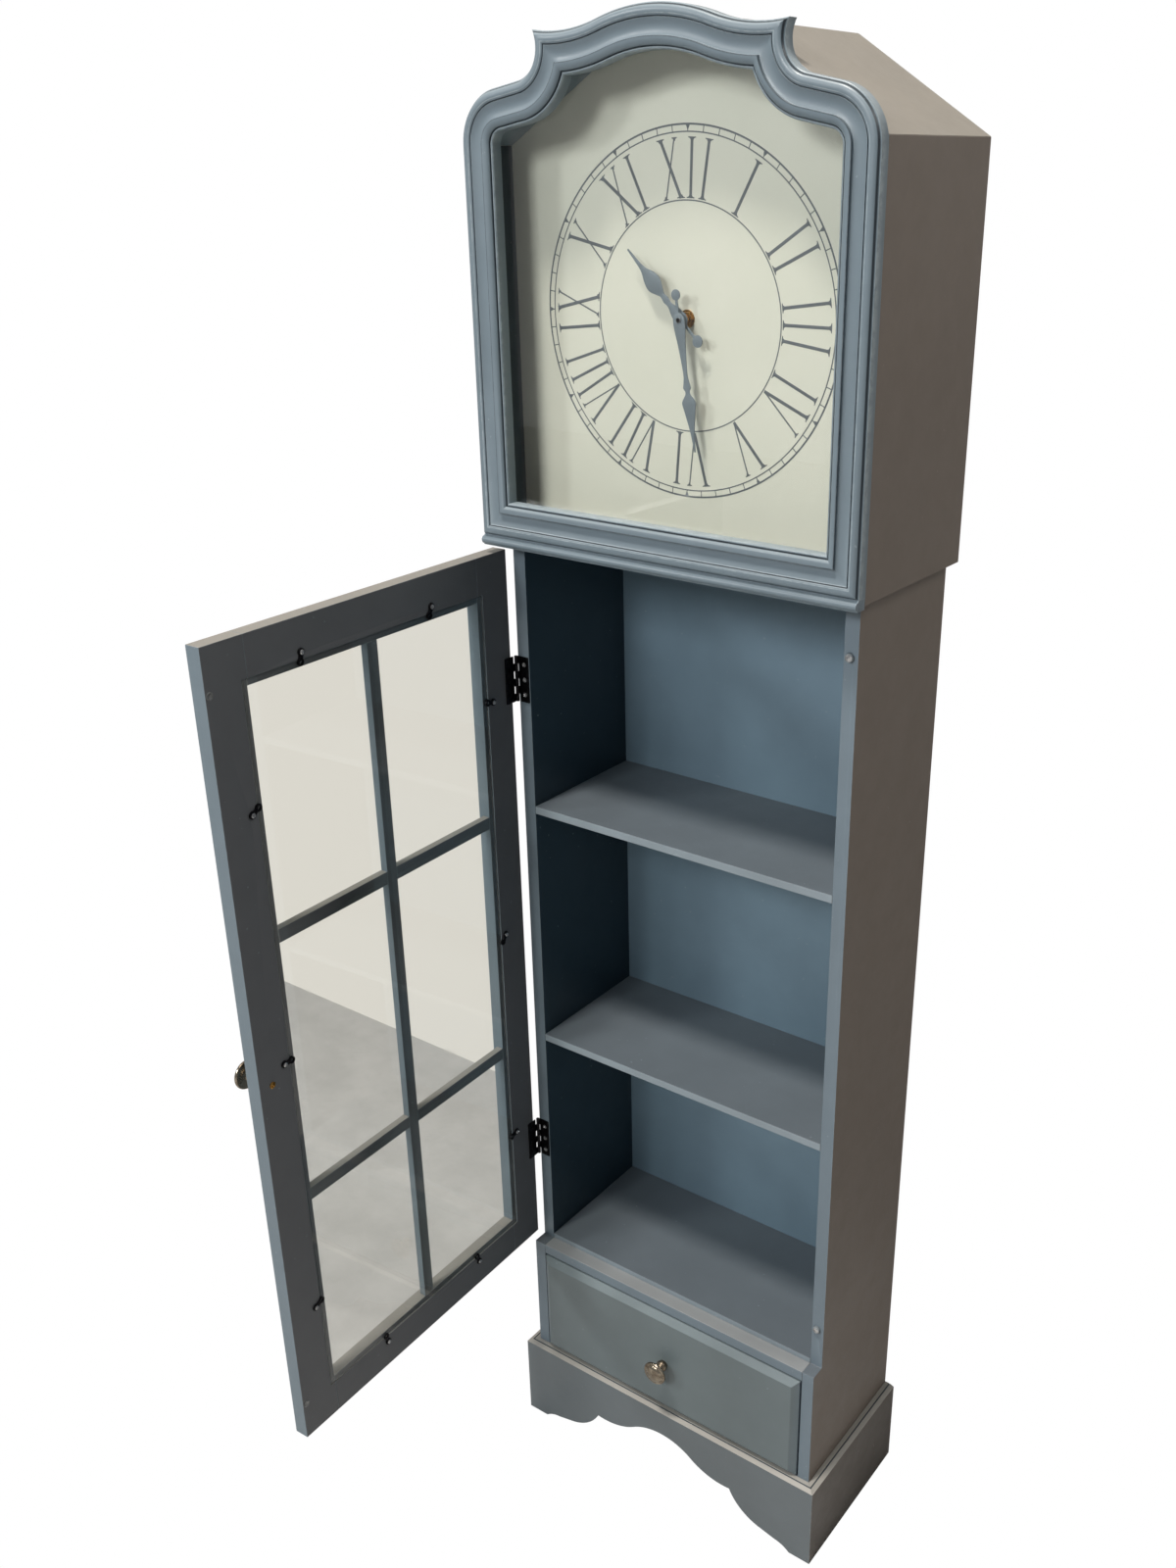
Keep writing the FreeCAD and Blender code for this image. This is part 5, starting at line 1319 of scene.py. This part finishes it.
def leaf_shells(solid, across, out, first):
    """One leaf with its knuckles; first is 1 if its lowest knuckle is left out."""
    low, high = reach_along(solid, UPWARD)
    reach = reach_along(solid, across)[1] - hinge_line.dot(across)
    length = high - low
    origin = hinge_line + out * LEAF_SEAT
    origin.z = low
    row = reach - SCREW_INSET
    holes = [circle_loop(SCREW_HOLE, (row, length / 2 + SCREW_PITCH * step), 24) for step in (-1, 0, 1)]
    plate = rounded_rectangle((NOTCH, 0.0), (reach, length), 0.8 * MM)
    shells = [sheet(origin, across, UPWARD, out, [plate, *holes], LEAF, 0.15 * MM)]
    pitch = length / 6
    for step in (0, 2, 4):
        start = pitch * (first + step) + KNUCKLE_GAP
        end = pitch * (first + step + 1) - KNUCKLE_GAP
        tongue = rounded_rectangle((0.3 * MM, start), (NOTCH + 1.0 * MM, end), 0.1 * MM, 2)
        shells.append(sheet(origin, across, UPWARD, out, [tongue], LEAF, 0.05 * MM))
        base = Vector((hinge_line.x, hinge_line.y, low + start))
        shells.append(tube(base, UPWARD, PIN_BORE, KNUCKLE, end - start, 0.25 * MM, 36))
    return shells


LEAVES = [("frame", "cabinet", RIGHTWARD, FORWARD, 1), ("door", "door", door_across, door_inward, 0)]
for side, body, *way in LEAVES:
    node = f"hinge_leaves_{side}"
    shells = [shell for solid in solids_of(node) for shell in leaf_shells(solid, *way)]
    make_piece(f"{side}_leaves", shells, black_oxide, body, "black_metal", node, sharp=40)

# %% [markdown]
# ## Turn-buttons
# Ten small black buttons hold the door's glass. Each is a figure of eight stamped from
# sheet, the same at both ends, and it turns on a screw through its outer lobe. The half
# width of the outline is again the widest of its members: two lobes and a waist.

# %% Turn-buttons
LOBE = 3.7 * MM
PITCH = 9.0 * MM
WAIST = 2.3 * MM
BUTTON = 1.4 * MM
BUTTON_HOLE = 1.55 * MM
turn = np.linspace(-math.pi / 2, math.pi / 2, 33)
along = np.unique(np.concatenate([LOBE * np.sin(turn), PITCH + LOBE * np.sin(turn)]))
lobes = np.maximum(disc_width(along, 0, LOBE), disc_width(along, PITCH, LOBE))
waist = np.where((along > 0) & (along < PITCH), WAIST, 0)
button_loop = both_sides(along, np.maximum(lobes, waist))
for joint_name, joint in joints.items():
    if not joint_name.startswith("clip_turn_"):
        continue
    number = joint_name[-2:]
    node = f"glass_clip_{number}"
    solid = solids_of(node)[0]
    pivot = Vector(joint["pos_m"])
    middle = Vector((solid.min(axis=0) + solid.max(axis=0)) / 2)
    pointing = middle - pivot
    pointing -= door_inward * pointing.dot(door_inward)
    pointing.normalize()
    seat = reach_along(solid, door_inward)[0]
    origin = pivot + door_inward * (seat - pivot.dot(door_inward))
    sideways = pointing.cross(door_inward)
    loops = [button_loop, circle_loop(BUTTON_HOLE), circle_loop(BUTTON_HOLE, (0.0, PITCH))]
    shell = sheet(origin, sideways, pointing, door_inward, loops, BUTTON, 0.35 * MM)
    make_piece(f"button_{number}", [shell], black_oxide, joint["child"], "black_metal", node, sharp=40)

# %% [markdown]
# ## Catch
# Two round magnets in pale shells stand in the front edge of the right side, and two
# steel discs on the door meet them when it is shut.

# %% Magnets and strikes
def half_height(solid):
    """Half of how tall a solid is."""
    low, high = reach_along(solid, UPWARD)
    return (high - low) / 2


SHELL_WALL = 0.9 * MM
SHELL_LIP = 0.8 * MM
shells, cores, strikes = [], [], []
for solid in solids_of("catch_magnets"):
    foot = foot_of(solid, FORWARD)
    low, high = reach_along(solid, FORWARD)
    length = high - low
    radius = half_height(solid)
    rim = radius - SHELL_WALL
    profile = [
        (0.0, 0.0), (radius, 0.0), (radius, length - 0.4 * MM), (radius - 0.4 * MM, length),
        (rim, length), (rim, length - SHELL_LIP), (0.0, length - SHELL_LIP),
    ]
    shells.append(lathe(foot, FORWARD, profile))
    start = foot + np.asarray(FORWARD) * (length - SHELL_LIP)
    disc = [(0.0, 0.0), (rim, 0.0), (rim, 0.35 * MM), (rim - 0.2 * MM, 0.5 * MM), (0.0, 0.5 * MM)]
    cores.append(lathe(start, FORWARD, disc))
make_piece("magnet_shells", shells, catch_shell, "cabinet", "bright_screw", "catch_magnets")
make_piece("magnet_cores", cores, bright_zinc, "cabinet", "bright_screw", "catch_magnets")
for solid in solids_of("strike_discs"):
    radius = half_height(solid)
    profile = [
        (0.0, 0.0), (radius, 0.0), (radius, 0.3 * MM), (radius - 0.25 * MM, 0.55 * MM),
        (radius * 0.72, 0.6 * MM), (radius * 0.62, 0.4 * MM), (0.0, 0.4 * MM),
    ]
    strikes.append(lathe(foot_of(solid, door_inward), door_inward, profile))
make_piece("strike_plates", strikes, pressed_steel, "door", "bright_screw", "strike_discs")

# %% [markdown]
# ## Camera
# The camera stands where the photographer stood: to the right of the cabinet, a little
# below its top, looking down. A small shift of the lens keeps the picture's frame.

# %% Camera
CAMERA_PLACE = Vector((0.7917, -1.2901, 1.5084))
AZIMUTH = math.radians(34.47)
ELEVATION = math.radians(24.16)
ROLL = math.radians(0.23)
FOCAL_LENGTH = 34.07
LENS_SHIFT = (-0.0669, 0.0212)
level_right = Vector((math.cos(AZIMUTH), math.sin(AZIMUTH), 0))
level_back = Vector((math.sin(AZIMUTH), -math.cos(AZIMUTH), 0))
backward = level_back * math.cos(ELEVATION) + UPWARD * math.sin(ELEVATION)
level_up = backward.cross(level_right)
camera_right = level_right * math.cos(ROLL) + level_up * math.sin(ROLL)
camera_up = level_up * math.cos(ROLL) - level_right * math.sin(ROLL)
camera_data = bpy.data.cameras.new("camera")
camera_data.sensor_width = 36
camera_data.lens = FOCAL_LENGTH
camera_data.shift_x, camera_data.shift_y = LENS_SHIFT
camera = add_object("camera", camera_data)
turned = Matrix((camera_right, camera_up, backward)).transposed().to_4x4()
camera.matrix_world = Matrix.Translation(CAMERA_PLACE) @ turned
bpy.context.scene.camera = camera

# %% [markdown]
# ## Light
# Four plain lamps stand in for the room. One to the left front gives the hands their
# shadow, a wide one in front fills the cupboard, a small warm one high in front lights
# the tops and the front half of each shelf, and one at the right, behind the front
# plane, lights the right side but none of the cupboard. They all hang so high that the
# hood's glass mirrors none of them towards somebody who stands before it. The world adds
# a low even fill, and is white where it is seen.


# %% Lamps and world
def area_lamp(name, place, aim, size, level, tint=(1.0, 1.0, 1.0)):
    """A square soft lamp; level is how bright a white face that looks at it would be."""
    data = bpy.data.lights.new(name, "AREA")
    data.size = size
    data.energy = level * math.pi**2 * (Vector(place) - Vector(aim)).length_squared
    data.color = tint
    lamp = add_object(name, data)
    lamp.location = place
    lamp.rotation_euler = (Vector(aim) - Vector(place)).to_track_quat("-Z", "Y").to_euler()


area_lamp("left_light", (-2.8, -3.6, 2.9), (0, -0.1, 1.3), 0.6, 0.22)
area_lamp("front_light", (-0.5, -4.2, 3.2), (0, -0.1, 0.8), 1.2, 0.42)
area_lamp("ceiling_light", (-0.4, -1.55, 4.8), (0, -0.1, 0.8), 0.5, 0.72, (1.0, 0.93, 0.86))
area_lamp("right_light", (1.8, 0.3, 2.9), (0.2, -0.1, 1.35), 0.8, 0.46, (1.0, 0.98, 0.95))

WORLD_FILL = 0.12
world = bpy.data.worlds.new("studio")
bpy.context.scene.world = world
world.use_nodes = True
tree = world.node_tree
path = add_node(tree, "LightPath").outputs
strength = remap(tree, path["Is Glossy Ray"], 0.0, 1.0, WORLD_FILL, 0.3)
strength = math_of(tree, "MAXIMUM", strength, path["Is Camera Ray"])
set_input(tree, tree.nodes["Background"], "Color", (1, 1, 1, 1))
set_input(tree, tree.nodes["Background"], "Strength", strength)

# %% [markdown]
# ## Floor and wall
# The floor and the wall behind it are plain pale planes, grey for everything that they
# light or that mirrors them. To the camera itself the floor is white and the wall is not
# there, so that the cabinet stands free as in the photograph and its back can be seen.
# Through the door's glass the wall has the tone that it has there in the photograph.

# %% Floor and wall
ROOM_SIDE = 6.0
WALL_PLACE = 0.36


def backdrop(name, corners, light, dark, seen=None):
    """A pale plane, white to the camera; or open to it, with a colour of its own behind glass."""
    mesh = bpy.data.meshes.new(name)
    mesh.from_pydata(corners, [], [(0, 1, 2, 3)])
    plane = add_object(name, mesh)
    material, tree, shader = new_material("pale_" + name)
    speckle = remap(tree, noise(tree, object_place(tree), 9.0, 6.0, 0.7), 0.3, 0.7)
    finish_material(tree, shader, mix_colour(tree, speckle, dark, light), 0.7)
    rays = add_node(tree, "LightPath").outputs
    if seen is None:
        to_camera = add_node(tree, "Emission", {0: (1, 1, 1, 1), 1: 1.0})
    else:
        to_camera = add_node(tree, "BsdfTransparent")
        lit = add_node(tree, "Emission", {0: seen, 1: 1.0})
        shader = mix_shader(tree, rays["Is Transmission Ray"], shader, lit)
    set_surface(tree, mix_shader(tree, rays["Is Camera Ray"], shader, to_camera))
    mesh.materials.append(material)


near = [(-ROOM_SIDE, -ROOM_SIDE, 0), (ROOM_SIDE, -ROOM_SIDE, 0)]
far = [(-ROOM_SIDE, WALL_PLACE, 0), (ROOM_SIDE, WALL_PLACE, 0)]
high = [(ROOM_SIDE, WALL_PLACE, ROOM_SIDE), (-ROOM_SIDE, WALL_PLACE, ROOM_SIDE)]
FLOOR = (paint_chip(196, 195, 193), paint_chip(182, 181, 179))
WALL = (paint_chip(164, 163, 161), paint_chip(154, 153, 151))
WALL_BEHIND_GLASS = (0.86, 0.81, 0.74, 1.0)
backdrop("floor", near + far[::-1], *FLOOR)
backdrop("wall", far + high, *WALL, seen=WALL_BEHIND_GLASS)

# %% Finish
bpy.context.scene.view_settings.view_transform = "Standard"
